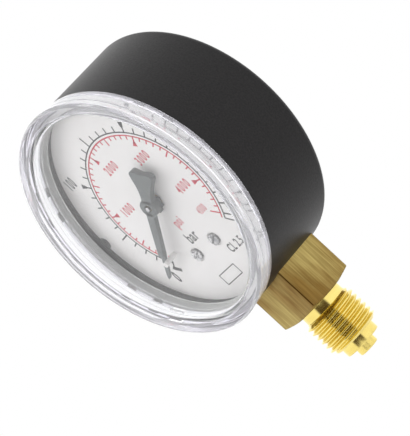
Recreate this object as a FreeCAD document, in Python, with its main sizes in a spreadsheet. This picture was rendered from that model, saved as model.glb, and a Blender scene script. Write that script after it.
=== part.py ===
import FreeCAD, Part
import math
import os
import Sketcher
from FreeCAD import Placement, Rotation, Vector

# Pressure gauge of 63 mm nominal size, with a G 1/4 B connection at the bottom.
#
# World frame: millimetres, +Z up, origin on the stem's axis at the middle of the connection thread.
# The dial faces -Y, and +X is to the right of somebody who reads it.
# The instrument itself is drawn in the face frame: x to the right, y up and z towards the reader,
# with its origin where the pointer's axis crosses the stem's axis.

SIZES = [
    # Whole instrument, along the stem (world Z) and along the pointer's axis (face z)
    ("dial_height", 47.3, "middle of the thread to the pointer's axis"),
    ("case_radius", 30.4, "outside of the case"),
    ("case_depth_back", 11.0, "pointer-stem crossing to the back of the case"),
    ("back_wall", 2.0, "thickness of the case's back"),
    ("case_bore", 28.0, "inside of the case behind the dial"),
    ("front_bore", 29.0, "inside of the case in front of the dial seat"),
    ("dial_back", 7.4, "back of the dial, on its seat in the case"),
    ("dial_front", 8.2, "printed face of the dial"),
    ("rim_seat", 11.9, "front edge of the case, under the window's rim"),
    ("back_edge_round", 1.5, "rounding of the case's back edge"),
    # Window
    ("window_radius", 31.0, "largest radius of the clear rim"),
    ("window_heel", 30.5, "radius of the clear rim at the case"),
    ("window_front", 17.4, "front of the clear rim"),
    ("window_round", 0.6, "bevel of the clear rim's front edge"),
    ("pane_front", 17.0, "front face of the pane"),
    ("pane_back", 15.1, "back face of the pane"),
    ("pane_edge", 28.2, "edge of the pane's flat front face"),
    ("skirt_outer", 28.9, "outside of the skirt that plugs into the case"),
    ("skirt_inner", 27.7, "inside of the skirt"),
    ("skirt_end", 10.2, "rear end of the skirt"),
    ("groove_inner", 29.25, "snap groove in the rim, inner radius"),
    ("groove_outer", 30.05, "snap groove in the rim, outer radius"),
    ("groove_depth", 1.0, "depth of the snap groove"),
    ("pry_half_width", 2.0, "half width of the notch where the window is prised off"),
    ("pry_depth", 1.4, "axial depth of that notch"),
    ("pry_turn", 135.0, "where the notch is, counter-clockwise from the top"),
    # Snap lugs of the case
    ("lug_inner", 29.4, "inner radius of a snap lug"),
    ("lug_outer", 29.95, "outer radius of a snap lug"),
    ("lug_half_width", 1.2, "half length of a snap lug along the rim"),
    ("lug_height", 0.8, "height of a snap lug"),
    # Dial
    ("dial_radius", 28.8, "outside of the dial"),
    ("dial_hole", 2.0, "hole for the pointer's arbor"),
    ("notch_centre", 28.75, "radius to the middle of the locating lug"),
    ("notch_lug", 1.55, "radius of the locating lug in the case"),
    ("notch_cut", 1.65, "radius of the dial's notch round it"),
    ("notch_turn", 87.0, "where the lug is, counter-clockwise from the top"),
    ("stop_radius", 15.7, "pointer's axis to the stop pin"),
    ("stop_pin", 0.65, "radius of the stop pin moulded on the dial"),
    ("stop_top", 12.3, "top of the stop pin"),
    ("stop_turn", 136.5, "where the stop pin is, counter-clockwise from the top"),
    ("dial_screw_x", 4.6, "dial screws, to each side of the middle"),
    ("dial_screw_y", 15.1, "dial screws, below the pointer's axis"),
    ("dimple", 1.85, "radius of the dimple round a dial screw"),
    ("dimple_depth", 0.4, "depth of that dimple"),
    ("small_hole", 0.85, "clearance hole for an M1.6 screw"),
    ("small_shank", 0.8, "shank of an M1.6 screw"),
    ("small_head", 1.5, "head of an M1.6 screw"),
    ("small_head_height", 0.9, "height of that head"),
    # Pointer
    ("pointer_turn", 131.5, "pointer on its stop, counter-clockwise from the top"),
    ("pointer_front", 11.6, "front face of the pointer"),
    ("arm_back", 10.3, "back of the pointer's arm"),
    ("blade_front", 10.9, "front of the thin blade at the pointer's tip"),
    ("tail_back", 9.7, "back of the counterweight"),
    ("boss_back", 8.5, "back of the lobed boss"),
    ("arm_root", 0.95, "half width of the arm at the hub"),
    ("arm_end", 0.72, "half width of the arm at its end"),
    ("arm_length", 14.3, "axis to the end of the thick arm"),
    ("blade_end", 0.45, "half width of the blade near the tip"),
    ("blade_length", 21.1, "axis to the corners of the tip"),
    ("tip_length", 21.7, "axis to the tip"),
    ("tail_neck", 1.0, "half width of the counterweight's neck"),
    ("tail_waist", 1.35, "half width of the counterweight where it starts to flare"),
    ("tail_flare", 3.1, "half width of the counterweight's end"),
    ("tail_length", 9.6, "axis to the end of the counterweight"),
    ("hub_radius", 2.3, "round hub of the pointer"),
    ("boss_radius", 2.1, "lobed boss, between its lobes"),
    ("lobe_radius", 0.5, "one lobe of the boss"),
    ("bush_radius", 1.1, "bush pressed into the pointer"),
    ("bush_back", 8.7, "back of the bush"),
    ("bush_front", 11.0, "front of the bush, behind the pointer's front skin"),
    ("eye_radius", 0.9, "hole in the pointer's front, round the arbor"),
    # Movement
    ("plate_front", 5.6, "front of the movement's front plate"),
    ("plate_back", -8.0, "back of the movement's back plate"),
    ("plate_thick", 1.0, "thickness of both plates"),
    ("plate_foot", 7.0, "half width of the plates' lower edge"),
    ("plate_low", 17.2, "pointer's axis to that edge"),
    ("plate_right", 16.3, "pointer's axis to the plates' right edge"),
    ("plate_right_low", 2.5, "lower end of the right edge"),
    ("plate_right_high", 8.0, "upper end of the right edge"),
    ("plate_high", 16.7, "pointer's axis to the upper edge"),
    ("plate_high_left", 4.2, "left end of the upper edge"),
    ("plate_high_right", 7.6, "right end of the upper edge"),
    ("plate_left", 10.8, "pointer's axis to the left edge"),
    ("plate_left_low", 5.0, "lower end of the left edge"),
    ("plate_left_high", 9.0, "upper end of the left edge"),
    ("pillar_radius", 1.6, "pillar between the plates"),
    ("pillar_left_x", -8.5, "upper left pillar"),
    ("pillar_left_y", 7.0, "upper left pillar"),
    ("pillar_right_x", 6.0, "upper right pillar"),
    ("pillar_right_y", 14.5, "upper right pillar"),
    ("arbor_radius", 0.6, "pinion arbor between the plates"),
    ("journal_radius", 0.5, "pinion arbor in front"),
    ("journal_hole", 0.54, "its bearing in the front plate"),
    ("pivot_radius", 0.4, "pivots in the plates"),
    ("pivot_hole", 0.44, "bearings of the pivots"),
    ("arbor_tip", 11.9, "front end of the pinion arbor"),
    ("pinion_back", 2.4, "rear end of the pinion's teeth"),
    ("pinion_front", 4.4, "front end of the pinion's teeth"),
    ("gear_module", 0.3, "module of pinion and sector"),
    ("sector_distance", 14.5, "pinion's axis to the sector's axis"),
    ("sector_turn", 22.0, "direction of the sector's axis, counter-clockwise from face x"),
    ("sector_back", 3.1, "back of the sector plate"),
    ("sector_front", 3.9, "front of the sector plate"),
    ("sector_hub", 2.2, "hub of the sector"),
    ("sector_arbor_radius", 0.7, "sector arbor"),
    ("tail_arm", 3.6, "sector's axis to the link pin"),
    ("tail_offset", -20.0, "tail arm against the line through both axes, at mid travel"),
    ("pointer_travel", 266.5, "pointer from its stop to full scale"),
    ("link_back", 2.1, "back of the link"),
    ("link_front", 2.9, "front of the link"),
    ("link_end", 0.95, "rounded ends of the link"),
    ("link_half_width", 0.55, "half width of the link between its ends"),
    ("link_hole", 0.5, "running hole at the tube's end"),
    ("link_open_hole", 0.7, "slack hole at the sector"),
    ("pin_radius", 0.45, "link pins"),
    ("pin_head", 0.8, "heads of the link pins"),
    ("pin_eye", 1.1, "rounded ends of the sector's tail and of the end piece's lug"),
    ("web_half", 0.8, "half width of the sector's tail"),
    # Hairspring
    ("spring_back", 0.2, "back edge of the hairspring"),
    ("spring_front", 0.8, "front edge of the hairspring"),
    ("spring_strip", 0.12, "thickness of the hairspring's strip"),
    ("spring_inner", 1.35, "inner end of the hairspring"),
    ("spring_pitch", 0.8, "growth of the hairspring's radius per turn"),
    ("collet_radius", 1.3, "collet on the arbor"),
    ("stud_radius", 0.5, "stud that holds the outer end"),
    # Bourdon tube
    ("coil_radius", 20.5, "middle of the tube's section to the coil's axis"),
    ("tube_flat", 1.2, "half of the tube's radial size"),
    ("tube_tall", 2.3, "half of the tube's axial size"),
    ("tube_wall", 0.6, "wall of the tube"),
    ("coil_start", -4.3, "middle of the tube's section at the socket"),
    ("coil_pitch", 5.4, "advance per turn"),
    ("coil_height", 8.64, "advance over the whole coil"),
    ("end_turn", 54.0, "where the tube ends, counter-clockwise from face x"),
    ("end_length", 3.2, "length of the tube's end piece"),
    ("pin_orbit", 18.1, "coil's axis to the link pin on the end piece"),
    ("pin_lead", -5.0, "that pin, counter-clockwise from the tube's end"),
    # Socket
    ("thread_radius", 6.5785, "crests of G 1/4"),
    ("thread_depth", 0.856, "depth of a G 1/4 groove"),
    ("thread_pitch", 1.337, "pitch of G 1/4"),
    ("crest_half", 0.15, "half of a crest's width"),
    ("root_half", 0.073, "half of a root's width"),
    ("thread_half", 4.5, "half of the threaded stretch"),
    ("lead_radius", 6.2, "radius where the thread starts"),
    ("neck_radius", 5.5, "undercut neck behind the thread"),
    ("block_bottom", 6.6, "lower end of the square block"),
    ("block_half", 7.0, "half of the spanner width of 14"),
    ("block_bevel", 0.8, "height of the turned bevel at a corner"),
    ("block_top", 24.7, "upper end of the square block"),
    ("flat_top", 17.5, "upper end of the spanner flats"),
    ("flat_step", 0.1, "how much the block narrows on each side above the flats"),
    ("pilot_radius", 4.6, "plain pilot in front of the thread"),
    ("pilot_end", -6.7, "sealing face at the end of the pilot"),
    ("spigot_radius", 2.5, "centring spigot"),
    ("spigot_end", -8.6, "lower end of the spigot"),
    ("spigot_bevel", 0.25, "bevel at the end of the spigot"),
    ("bore_radius", 1.5, "pressure bore"),
    ("bore_top", 22.6, "upper end of the pressure bore"),
    ("passage_radius", 0.7, "drilled way from the bore to the tube"),
    ("ear_width", 5.0, "ear that holds the start of the tube"),
    ("ear_front", 1.8, "front face of the ear, behind the stem's axis"),
    ("ear_back", 6.9, "back face of the ear"),
    ("ear_top", 28.9, "top of the ear"),
    ("stem_gap", 0.05, "gap between the block and the case round it"),
    # Screws that hold the socket
    ("case_screw_x", 4.8, "case screws, to each side of the stem"),
    ("case_screw_y", 26.5, "case screws, below the pointer's axis"),
    ("case_screw_shank", 1.5, "shank of an M3 screw"),
    ("case_screw_hole", 1.6, "clearance hole for an M3 screw"),
    ("case_screw_head", 2.7, "head of an M3 screw"),
    ("case_screw_head_height", 1.1, "height of that head"),
    ("counterbore", 2.9, "recess for the head in the case's back"),
    ("counterbore_depth", 1.2, "depth of that recess"),
    ("boss", 2.6, "boss of the case round an M3 screw"),
    ("carrier_screw_upper", 23.8, "upper carrier screw, below the pointer's axis"),
    ("carrier_screw_lower", 26.5, "lower carrier screw, below the pointer's axis"),
    ("carrier_screw_shank", 0.8, "shank of a carrier screw"),
    ("carrier_screw_head", 1.3, "head of a carrier screw"),
    ("carrier_screw_head_height", 0.8, "height of that head"),
    ("slot_half_width", 0.2, "half width of a screwdriver slot"),
    ("slot_depth", 0.4, "depth of a screwdriver slot"),
]
SIZE = {alias: size for alias, size, note in SIZES}

PINION_TEETH = 12
SECTOR_TEETH = 84
SECTOR_TEETH_CUT = 11
PRESSURE_ANGLE = math.radians(20)
TOOTH_SLACK = 0.02
THREAD_CRESTS = 7
HAIRSPRING_TURNS = 5
BOSS_LOBES = 8
LUG_PAIRS = 6
LUG_TURNS = (-3.5, 10.5)

doc = FreeCAD.newDocument("PressureGauge")
sheet = doc.addObject("Spreadsheet::Sheet", "Sizes")
for row, (alias, size, note) in enumerate(SIZES, start=1):
    sheet.set(f"A{row}", note)
    sheet.set(f"B{row}", str(size))
    sheet.setAlias(f"B{row}", alias)
doc.recompute()


# ---- Sums of sizes, and places ----

def number(text):
    """The value of a sum such as "case_radius - 2*back_wall + 0.1"."""
    total = 0.0
    sign = 1.0
    for word in text.split():
        if word in ("+", "-"):
            sign = 1.0 if word == "+" else -1.0
            continue
        factor, star, alias = word.rpartition("*")
        amount = SIZE[alias] if alias in SIZE else float(alias)
        total += sign * amount * (float(factor) if star else 1.0)
    return total


def formula(text):
    """The same sum as a formula on the sheet."""
    words = []
    for word in text.split():
        factor, star, alias = word.rpartition("*")
        words.append(factor + star + (f"Sizes.{alias}" if alias in SIZE else alias))
    return " ".join(words)


def bind(item, path, text):
    """Ties a property of a document object to a sum of sizes."""
    item.setExpression(path, formula(text))


def turned(degrees):
    return Rotation(Vector(0, 0, 1), degrees)


def at_face(x=0.0, y=0.0, z=0.0, turn=0.0):
    """A place in the face frame, turned counter-clockwise as the reader sees it."""
    face = Placement(Vector(0, 0, SIZE["dial_height"]), Rotation(Vector(1, 0, 0), 90))
    return face * Placement(Vector(x, y, z), turned(turn))


def polar(radius, degrees):
    angle = math.radians(degrees)
    return Vector(radius * math.cos(angle), radius * math.sin(angle), 0)


# ---- Bodies, sketches and features ----

def new_body(name, place):
    body = doc.addObject("PartDesign::Body", name)
    body.Label = name
    body.Placement = place
    return body


def new_sketch(body, role="XY_Plane", offset="0", turn="0"):
    """A sketch on one of the body's origin planes, raised and turned about its normal."""
    sketch = body.newObject("Sketcher::SketchObject", body.Name + "_sketch")
    origin_plane = next(item for item in body.Origin.OriginFeatures if item.Role == role)
    sketch.AttachmentSupport = (origin_plane, [""])
    sketch.MapMode = "FlatFace"
    sketch.AttachmentOffset = Placement(Vector(0, 0, number(offset)), turned(number(turn)))
    bind(sketch, "AttachmentOffset.Base.z", offset)
    if number(turn):
        bind(sketch, "AttachmentOffset.Rotation.Angle", turn)
    return sketch


def pin_down(sketch, geometry, point, x, y):
    """Fixes one point of a sketch at a pair of sums of sizes."""
    for kind, axis, text in (("DistanceX", -2, x), ("DistanceY", -1, y)):
        if abs(number(text)) < 1e-9:
            sketch.addConstraint(Sketcher.Constraint("PointOnObject", geometry, point, axis))
            continue
        index = sketch.addConstraint(
            Sketcher.Constraint(kind, -1, 1, geometry, point, number(text)))
        bind(sketch, f"Constraints[{index}]", text)


def draw_outline(sketch, corners):
    """A closed outline of straight edges, with each corner a pair of sums of sizes."""
    first = sketch.GeometryCount
    points = [Vector(number(x), number(y), 0) for x, y in corners]
    count = len(points)
    for i in range(count):
        sketch.addGeometry(Part.LineSegment(points[i], points[(i + 1) % count]))
    for i, (x, y) in enumerate(corners):
        after = first + (i + 1) % count
        sketch.addConstraint(Sketcher.Constraint("Coincident", first + i, 2, after, 1))
        pin_down(sketch, first + i, 1, x, y)


def draw_box(sketch, left, right, low, high):
    draw_outline(sketch, [(left, low), (right, low), (right, high), (left, high)])


def draw_circle(sketch, radius, x="0", y="0"):
    centre = Vector(number(x), number(y), 0)
    index = sketch.addGeometry(Part.Circle(centre, Vector(0, 0, 1), number(radius)))
    if number(x) or number(y):
        pin_down(sketch, index, 3, x, y)
    else:
        sketch.addConstraint(Sketcher.Constraint("Coincident", index, 3, -1, 1))
    size = sketch.addConstraint(Sketcher.Constraint("Radius", index, number(radius)))
    bind(sketch, f"Constraints[{size}]", radius)


def finish(body, feature):
    """Makes a feature the body's tip, and checks that it changed the solid as its kind should."""
    before = 0.0 if body.Shape.isNull() else body.Shape.Volume
    body.Tip = feature
    doc.recompute()
    cuts = feature.TypeId in ("PartDesign::Pocket", "PartDesign::Groove",
                              "PartDesign::SubtractiveHelix", "PartDesign::Fillet")
    change = body.Shape.Volume - before
    if change == 0 or (change < 0) != cuts:
        raise RuntimeError(f"{body.Label}: {feature.Name} changed the volume by {change:.4f}")
    return feature


def pad(body, sketch, length, backwards=False):
    feature = body.newObject("PartDesign::Pad", body.Name + "_pad")
    feature.Profile = sketch
    feature.Reversed = backwards
    bind(feature, "Length", length)
    return finish(body, feature)


def pocket(body, sketch, length, backwards=False):
    feature = body.newObject("PartDesign::Pocket", body.Name + "_pocket")
    feature.Profile = sketch
    feature.Reversed = backwards
    bind(feature, "Length", length)
    return finish(body, feature)


def revolve(body, sketch, kind="PartDesign::Revolution"):
    """A full turn of a sketch on the XZ plane about the body's own z axis."""
    feature = body.newObject(kind, body.Name + "_turned")
    feature.Profile = sketch
    feature.ReferenceAxis = (sketch, ["V_Axis"])
    feature.Angle = 360
    return finish(body, feature)


def repeat_round(body, feature, count):
    """Copies a feature round the body's own z axis."""
    pattern = body.newObject("PartDesign::PolarPattern", body.Name + "_pattern")
    pattern.Originals = [feature]
    pattern.Axis = (next(o for o in body.Origin.OriginFeatures if o.Role == "Z_Axis"), [""])
    pattern.Angle = 360
    pattern.Occurrences = count
    return finish(body, pattern)


def helix(body, sketch, kind):
    """A left-handed sweep of a sketch on the XZ plane about the body's own z axis."""
    feature = body.newObject(kind, body.Name + "_helix")
    feature.Profile = sketch
    feature.ReferenceAxis = (sketch, ["V_Axis"])
    feature.Mode = "pitch-height-angle"
    feature.LeftHanded = True
    bind(feature, "Pitch", "coil_pitch")
    bind(feature, "Height", "coil_height")
    return finish(body, feature)


# ---- Primitives and booleans ----

def cylinder(name, radius, length, place):
    item = doc.addObject("Part::Cylinder", name)
    bind(item, "Radius", radius)
    bind(item, "Height", length)
    item.Placement = place
    return item


def fuse(name, items):
    item = doc.addObject("Part::MultiFuse", name)
    item.Shapes = items
    return item


def cut(name, base, tool):
    item = doc.addObject("Part::Cut", name)
    item.Base = base
    item.Tool = tool
    return item


def group(name, items):
    """Identical fasteners in one node, as separate solids."""
    item = doc.addObject("Part::Compound", name)
    item.Links = items
    return item


def steps(name, x, y, rows):
    """A turned piece along face z: rows of radius, rear end and front end."""
    return fuse(name, [
        cylinder(f"{name}_step", radius, f"{front} {minus(back)}", at_face(x, y, number(back)))
        for radius, back, front in rows])


def minus(text):
    """The same sum with every sign turned round, for use after another sum."""
    swap = {"+": "-", "-": "+"}
    words = [swap.get(word, word) for word in text.split()]
    return " ".join(words if words[0] in swap else ["-"] + words)


def slotted_screw(name, x, y, seat, head, head_height, shank, length, facing=1):
    """One slotted screw with its head on the plane z = seat, pointing away from the reader
    when facing is 1 and towards the reader when facing is -1."""
    flip = Placement(Vector(0, 0, 0), Rotation(Vector(1, 0, 0), 0 if facing == 1 else 180))
    place = at_face(x, y, number(seat)) * flip
    head_part = cylinder(f"{name}_head", head, head_height, place)
    shank_place = place * Placement(Vector(0, 0, -number(length)), Rotation())
    shank_part = cylinder(f"{name}_shank", shank, length, shank_place)
    slot = doc.addObject("Part::Box", f"{name}_slot")
    bind(slot, "Length", f"2*{head} + 1")
    bind(slot, "Width", "2*slot_half_width")
    bind(slot, "Height", "2*slot_depth")
    corner = Vector(-number(head) - 0.5, -SIZE["slot_half_width"],
                    number(head_height) - SIZE["slot_depth"])
    turn = Placement(Vector(0, 0, 0), turned(25 + 40 * x))
    slot.Placement = place * turn * Placement(corner, Rotation())
    return cut(name, fuse(f"{name}_blank", [head_part, shank_part]), slot)


# ---- Gear teeth ----

def flank_angle(teeth, radius):
    """Half of a tooth's angle at a radius, on an involute flank."""
    pitch_radius = teeth * SIZE["gear_module"] / 2
    base_radius = pitch_radius * math.cos(PRESSURE_ANGLE)
    at_pitch = math.pi / (2 * teeth) - TOOTH_SLACK / (2 * pitch_radius)
    roll = math.acos(min(1.0, base_radius / radius))
    involute = math.tan(roll) - roll
    return at_pitch + math.tan(PRESSURE_ANGLE) - PRESSURE_ANGLE - involute


def tooth_edges(teeth, centre, root, tip):
    """The outline of one tooth, counter-clockwise from root to root."""
    module = SIZE["gear_module"]
    base = max(root, teeth * module / 2 * math.cos(PRESSURE_ANGLE) + 1e-6)

    def flank_point(radius, side):
        angle = centre + side * flank_angle(teeth, max(radius, base))
        return Vector(radius * math.cos(angle), radius * math.sin(angle), 0)

    middle = (base + tip) / 2
    rising = [flank_point(radius, -1) for radius in (root, base, middle, tip)]
    falling = [flank_point(radius, 1) for radius in (tip, middle, base, root)]
    crown = Vector(tip * math.cos(centre), tip * math.sin(centre), 0)
    edges = [Part.Arc(rising[1], rising[2], rising[3]).toShape(),
             Part.Arc(rising[3], crown, falling[0]).toShape(),
             Part.Arc(falling[0], falling[1], falling[2]).toShape()]
    if base > root + 1e-4:
        edges.insert(0, Part.LineSegment(rising[0], rising[1]).toShape())
        edges.append(Part.LineSegment(falling[2], falling[3]).toShape())
    return edges, rising[0], falling[3]


def joined_teeth(teeth, centres, root, tip):
    """Teeth in a row, joined by root arcs: their edges, and the first and last root points."""
    edges = []
    ends = []
    for centre in centres:
        tooth, start, stop = tooth_edges(teeth, centre, root, tip)
        if ends:
            edges.append(root_arc(ends[-1], start, root))
        edges += tooth
        ends += [start, stop]
    return edges, ends[0], ends[-1]


def root_arc(start, stop, radius):
    middle = start + stop
    middle.multiply(radius / middle.Length)
    return Part.Arc(start, middle, stop).toShape()


def solid_feature(name, shape, place):
    """A node whose outline can't be sketched with sums of sizes, such as a toothed piece."""
    item = doc.addObject("Part::Feature", name)
    item.Shape = shape
    item.Placement = place
    return item


# ---- Linkage at rest ----

def sector_axis():
    return polar(SIZE["sector_distance"], SIZE["sector_turn"])


def sector_rest_turn():
    """The line from the sector's axis through its middle tooth to the pinion, at rest."""
    half_travel = SIZE["pointer_travel"] * PINION_TEETH / SECTOR_TEETH / 2
    return SIZE["sector_turn"] + 180 - half_travel


def tail_pin_place():
    direction = sector_rest_turn() - 180 + SIZE["tail_offset"]
    return sector_axis() + polar(SIZE["tail_arm"], direction)


def tip_pin_place():
    return polar(SIZE["pin_orbit"], SIZE["end_turn"] + SIZE["pin_lead"])


# ---- Case, window and dial ----

def make_case():
    """Black moulded cup with the dial's seat, snap lugs, locating lug and screw bosses."""
    body = new_body("case", at_face())
    inner_back = "- case_depth_back + back_wall"
    wall = new_sketch(body, "XZ_Plane")
    draw_outline(wall, [
        ("0", "- case_depth_back"), ("case_radius", "- case_depth_back"),
        ("case_radius", "rim_seat"), ("front_bore", "rim_seat"),
        ("front_bore", "dial_back"), ("case_bore", "dial_back"),
        ("case_bore", inner_back), ("0", inner_back)])
    round_back_edge(body, revolve(body, wall))
    for turn in LUG_TURNS:
        lug = new_sketch(body, offset="rim_seat", turn=str(-turn))
        draw_box(lug, "- lug_half_width", "lug_half_width", "lug_inner", "lug_outer")
        repeat_round(body, pad(body, lug, "lug_height"), LUG_PAIRS)
    locator = new_sketch(body, offset="dial_back - back_wall", turn="notch_turn")
    draw_circle(locator, "notch_lug", "0", "notch_centre")
    pad(body, locator, "dial_front - dial_back + back_wall + 0.2")
    bosses = new_sketch(body, offset=inner_back)
    holes = new_sketch(body, offset="- case_depth_back")
    recesses = new_sketch(body, offset="- case_depth_back")
    for side in ("", "- "):
        draw_circle(bosses, "boss", side + "case_screw_x", "- case_screw_y")
        draw_circle(holes, "case_screw_hole", side + "case_screw_x", "- case_screw_y")
        draw_circle(recesses, "counterbore", side + "case_screw_x", "- case_screw_y")
    pad(body, bosses, "case_depth_back - back_wall - block_half - stem_gap")
    pocket(body, holes, "case_depth_back - block_half + 1", backwards=True)
    pocket(body, recesses, "counterbore_depth", backwards=True)
    stem = new_sketch(body, "XZ_Plane")
    edge = "block_half + stem_gap"
    draw_box(stem, minus(edge), edge, minus(edge), edge)
    pocket(body, stem, "case_radius + 1", backwards=True)
    return body


def round_back_edge(body, cup):
    """Rounds the outer edge of the case's back."""
    names = []
    for index, edge in enumerate(cup.Shape.Edges, start=1):
        box = edge.BoundBox
        at_back = abs(box.ZMin + SIZE["case_depth_back"]) < 1e-3 and box.ZLength < 1e-3
        if at_back and abs(box.XLength - 2 * SIZE["case_radius"]) < 1e-3:
            names.append(f"Edge{index}")
    feature = body.newObject("PartDesign::Fillet", "case_round")
    feature.Base = (cup, names)
    bind(feature, "Radius", "back_edge_round")
    finish(body, feature)


def make_window():
    """Clear one-piece window: pane, rim and the skirt that snaps into the case."""
    body = new_body("window", at_face())
    section = new_sketch(body, "XZ_Plane")
    draw_outline(section, [
        ("0", "pane_back"), ("skirt_inner", "pane_back"), ("skirt_inner", "skirt_end"),
        ("skirt_outer", "skirt_end"), ("skirt_outer", "rim_seat"),
        ("groove_inner", "rim_seat"), ("groove_inner", "rim_seat + groove_depth"),
        ("groove_outer", "rim_seat + groove_depth"), ("groove_outer", "rim_seat"),
        ("window_heel", "rim_seat"), ("window_radius", "window_front - window_round"),
        ("window_radius - window_round", "window_front"),
        ("pane_edge + 0.4", "window_front"), ("pane_edge", "pane_front"),
        ("0", "pane_front")])
    revolve(body, section)
    notch = new_sketch(body, offset="rim_seat", turn="pry_turn")
    draw_box(notch, "- pry_half_width", "pry_half_width", "groove_outer - 0.1",
             "window_radius + 1")
    pocket(body, notch, "pry_depth", backwards=True)
    return body


def make_dial():
    """White moulded dial with its stop pin, locating notch and screw dimples."""
    body = new_body("dial", at_face())
    disc = new_sketch(body, offset="dial_back")
    draw_circle(disc, "dial_radius")
    draw_circle(disc, "dial_hole")
    pad(body, disc, "dial_front - dial_back")
    notch = new_sketch(body, offset="dial_front", turn="notch_turn")
    draw_circle(notch, "notch_cut", "0", "notch_centre")
    pocket(body, notch, "dial_front - dial_back + 1")
    holes = new_sketch(body, offset="dial_front")
    dimples = new_sketch(body, offset="dial_front")
    for side in ("", "- "):
        draw_circle(holes, "small_hole", side + "dial_screw_x", "- dial_screw_y")
        draw_circle(dimples, "dimple", side + "dial_screw_x", "- dial_screw_y")
    pocket(body, holes, "dial_front - dial_back + 1")
    pocket(body, dimples, "dimple_depth")
    stop = new_sketch(body, offset="dial_front", turn="stop_turn")
    draw_circle(stop, "stop_pin", "0", "stop_radius")
    pad(body, stop, "stop_top - dial_front")
    return body


def make_dial_screws():
    """Two screws through the dial and its spacers into the lower pillars."""
    return group("dial_screws", [
        slotted_screw("dial_screw", side * SIZE["dial_screw_x"], -SIZE["dial_screw_y"],
                      "dial_front - dimple_depth", "small_head", "small_head_height",
                      "small_shank", "dial_front - dimple_depth - pinion_back")
        for side in (-1, 1)])


# ---- Pointer ----

def make_pointer():
    """Moulded pointer: arm and thin blade, flared counterweight, hub and lobed boss."""
    body = new_body("pointer", at_face(turn=SIZE["pointer_turn"]))
    hub = new_sketch(body, offset="tail_back")
    draw_circle(hub, "hub_radius")
    pad(body, hub, "pointer_front - tail_back")
    arm = new_sketch(body, offset="arm_back")
    draw_outline(arm, [("- arm_root", "0"), ("arm_root", "0"),
                       ("arm_end", "arm_length"), ("- arm_end", "arm_length")])
    pad(body, arm, "pointer_front - arm_back")
    blade = new_sketch(body, offset="arm_back")
    draw_outline(blade, [
        ("- arm_end", "arm_length - 1"), ("arm_end", "arm_length - 1"),
        ("arm_end", "arm_length"), ("blade_end", "blade_length"), ("0.1", "tip_length"),
        ("- 0.1", "tip_length"), ("- blade_end", "blade_length"), ("- arm_end", "arm_length")])
    pad(body, blade, "blade_front - arm_back")
    tail = new_sketch(body, offset="tail_back")
    draw_outline(tail, [
        ("- tail_neck", "- 1"), ("- tail_neck", "- 3"), ("- tail_waist", "- tail_length + 3.4"),
        ("- tail_flare", "- tail_length + 0.9"), ("- tail_flare + 0.5", "- tail_length"),
        ("0", "- tail_length + 0.45"), ("tail_flare - 0.5", "- tail_length"),
        ("tail_flare", "- tail_length + 0.9"), ("tail_waist", "- tail_length + 3.4"),
        ("tail_neck", "- 3"), ("tail_neck", "- 1")])
    pad(body, tail, "pointer_front - tail_back")
    boss = new_sketch(body, offset="boss_back")
    draw_circle(boss, "boss_radius")
    pad(body, boss, "tail_back - boss_back")
    lobe = new_sketch(body, offset="boss_back")
    draw_circle(lobe, "lobe_radius", "0", "boss_radius")
    repeat_round(body, pad(body, lobe, "tail_back - boss_back + 0.2"), BOSS_LOBES)
    bore = new_sketch(body, offset="bush_front")
    draw_circle(bore, "bush_radius")
    pocket(body, bore, "bush_front - boss_back + 1")
    eye = new_sketch(body, offset="pointer_front")
    draw_circle(eye, "eye_radius")
    pocket(body, eye, "pointer_front - bush_front + 0.1")
    return body


def make_pointer_bush():
    """Brass bush pressed into the pointer, pushed onto the arbor."""
    body = new_body("pointer_bush", at_face())
    ring = new_sketch(body, offset="bush_back")
    draw_circle(ring, "bush_radius")
    draw_circle(ring, "journal_radius")
    pad(body, ring, "bush_front - bush_back")
    return body


# ---- Movement ----

def make_pinion_arbor():
    """Steel arbor with its pinion cut in one piece."""
    shaft = steps("pinion_shaft", 0, 0, [
        ("pivot_radius", "plate_back", "plate_back + plate_thick + 0.1"),
        ("arbor_radius", "plate_back + plate_thick + 0.1", "pinion_front"),
        ("journal_radius", "pinion_front", "arbor_tip")])
    module = SIZE["gear_module"]
    pitch_radius = PINION_TEETH * module / 2
    first = math.radians(SIZE["sector_turn"])
    centres = [first + 2 * math.pi * i / PINION_TEETH for i in range(PINION_TEETH)]
    root = pitch_radius - 1.25 * module
    edges, start, stop = joined_teeth(PINION_TEETH, centres, root, pitch_radius + 1.1 * module)
    edges.append(root_arc(stop, start, root))
    length = number("pinion_front - pinion_back")
    teeth = Part.Face(Part.Wire(Part.__sortEdges__(edges))).extrude(Vector(0, 0, length))
    rim = solid_feature("pinion_teeth", teeth, at_face(z=SIZE["pinion_back"]))
    return fuse("pinion_arbor", [shaft, rim])


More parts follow.
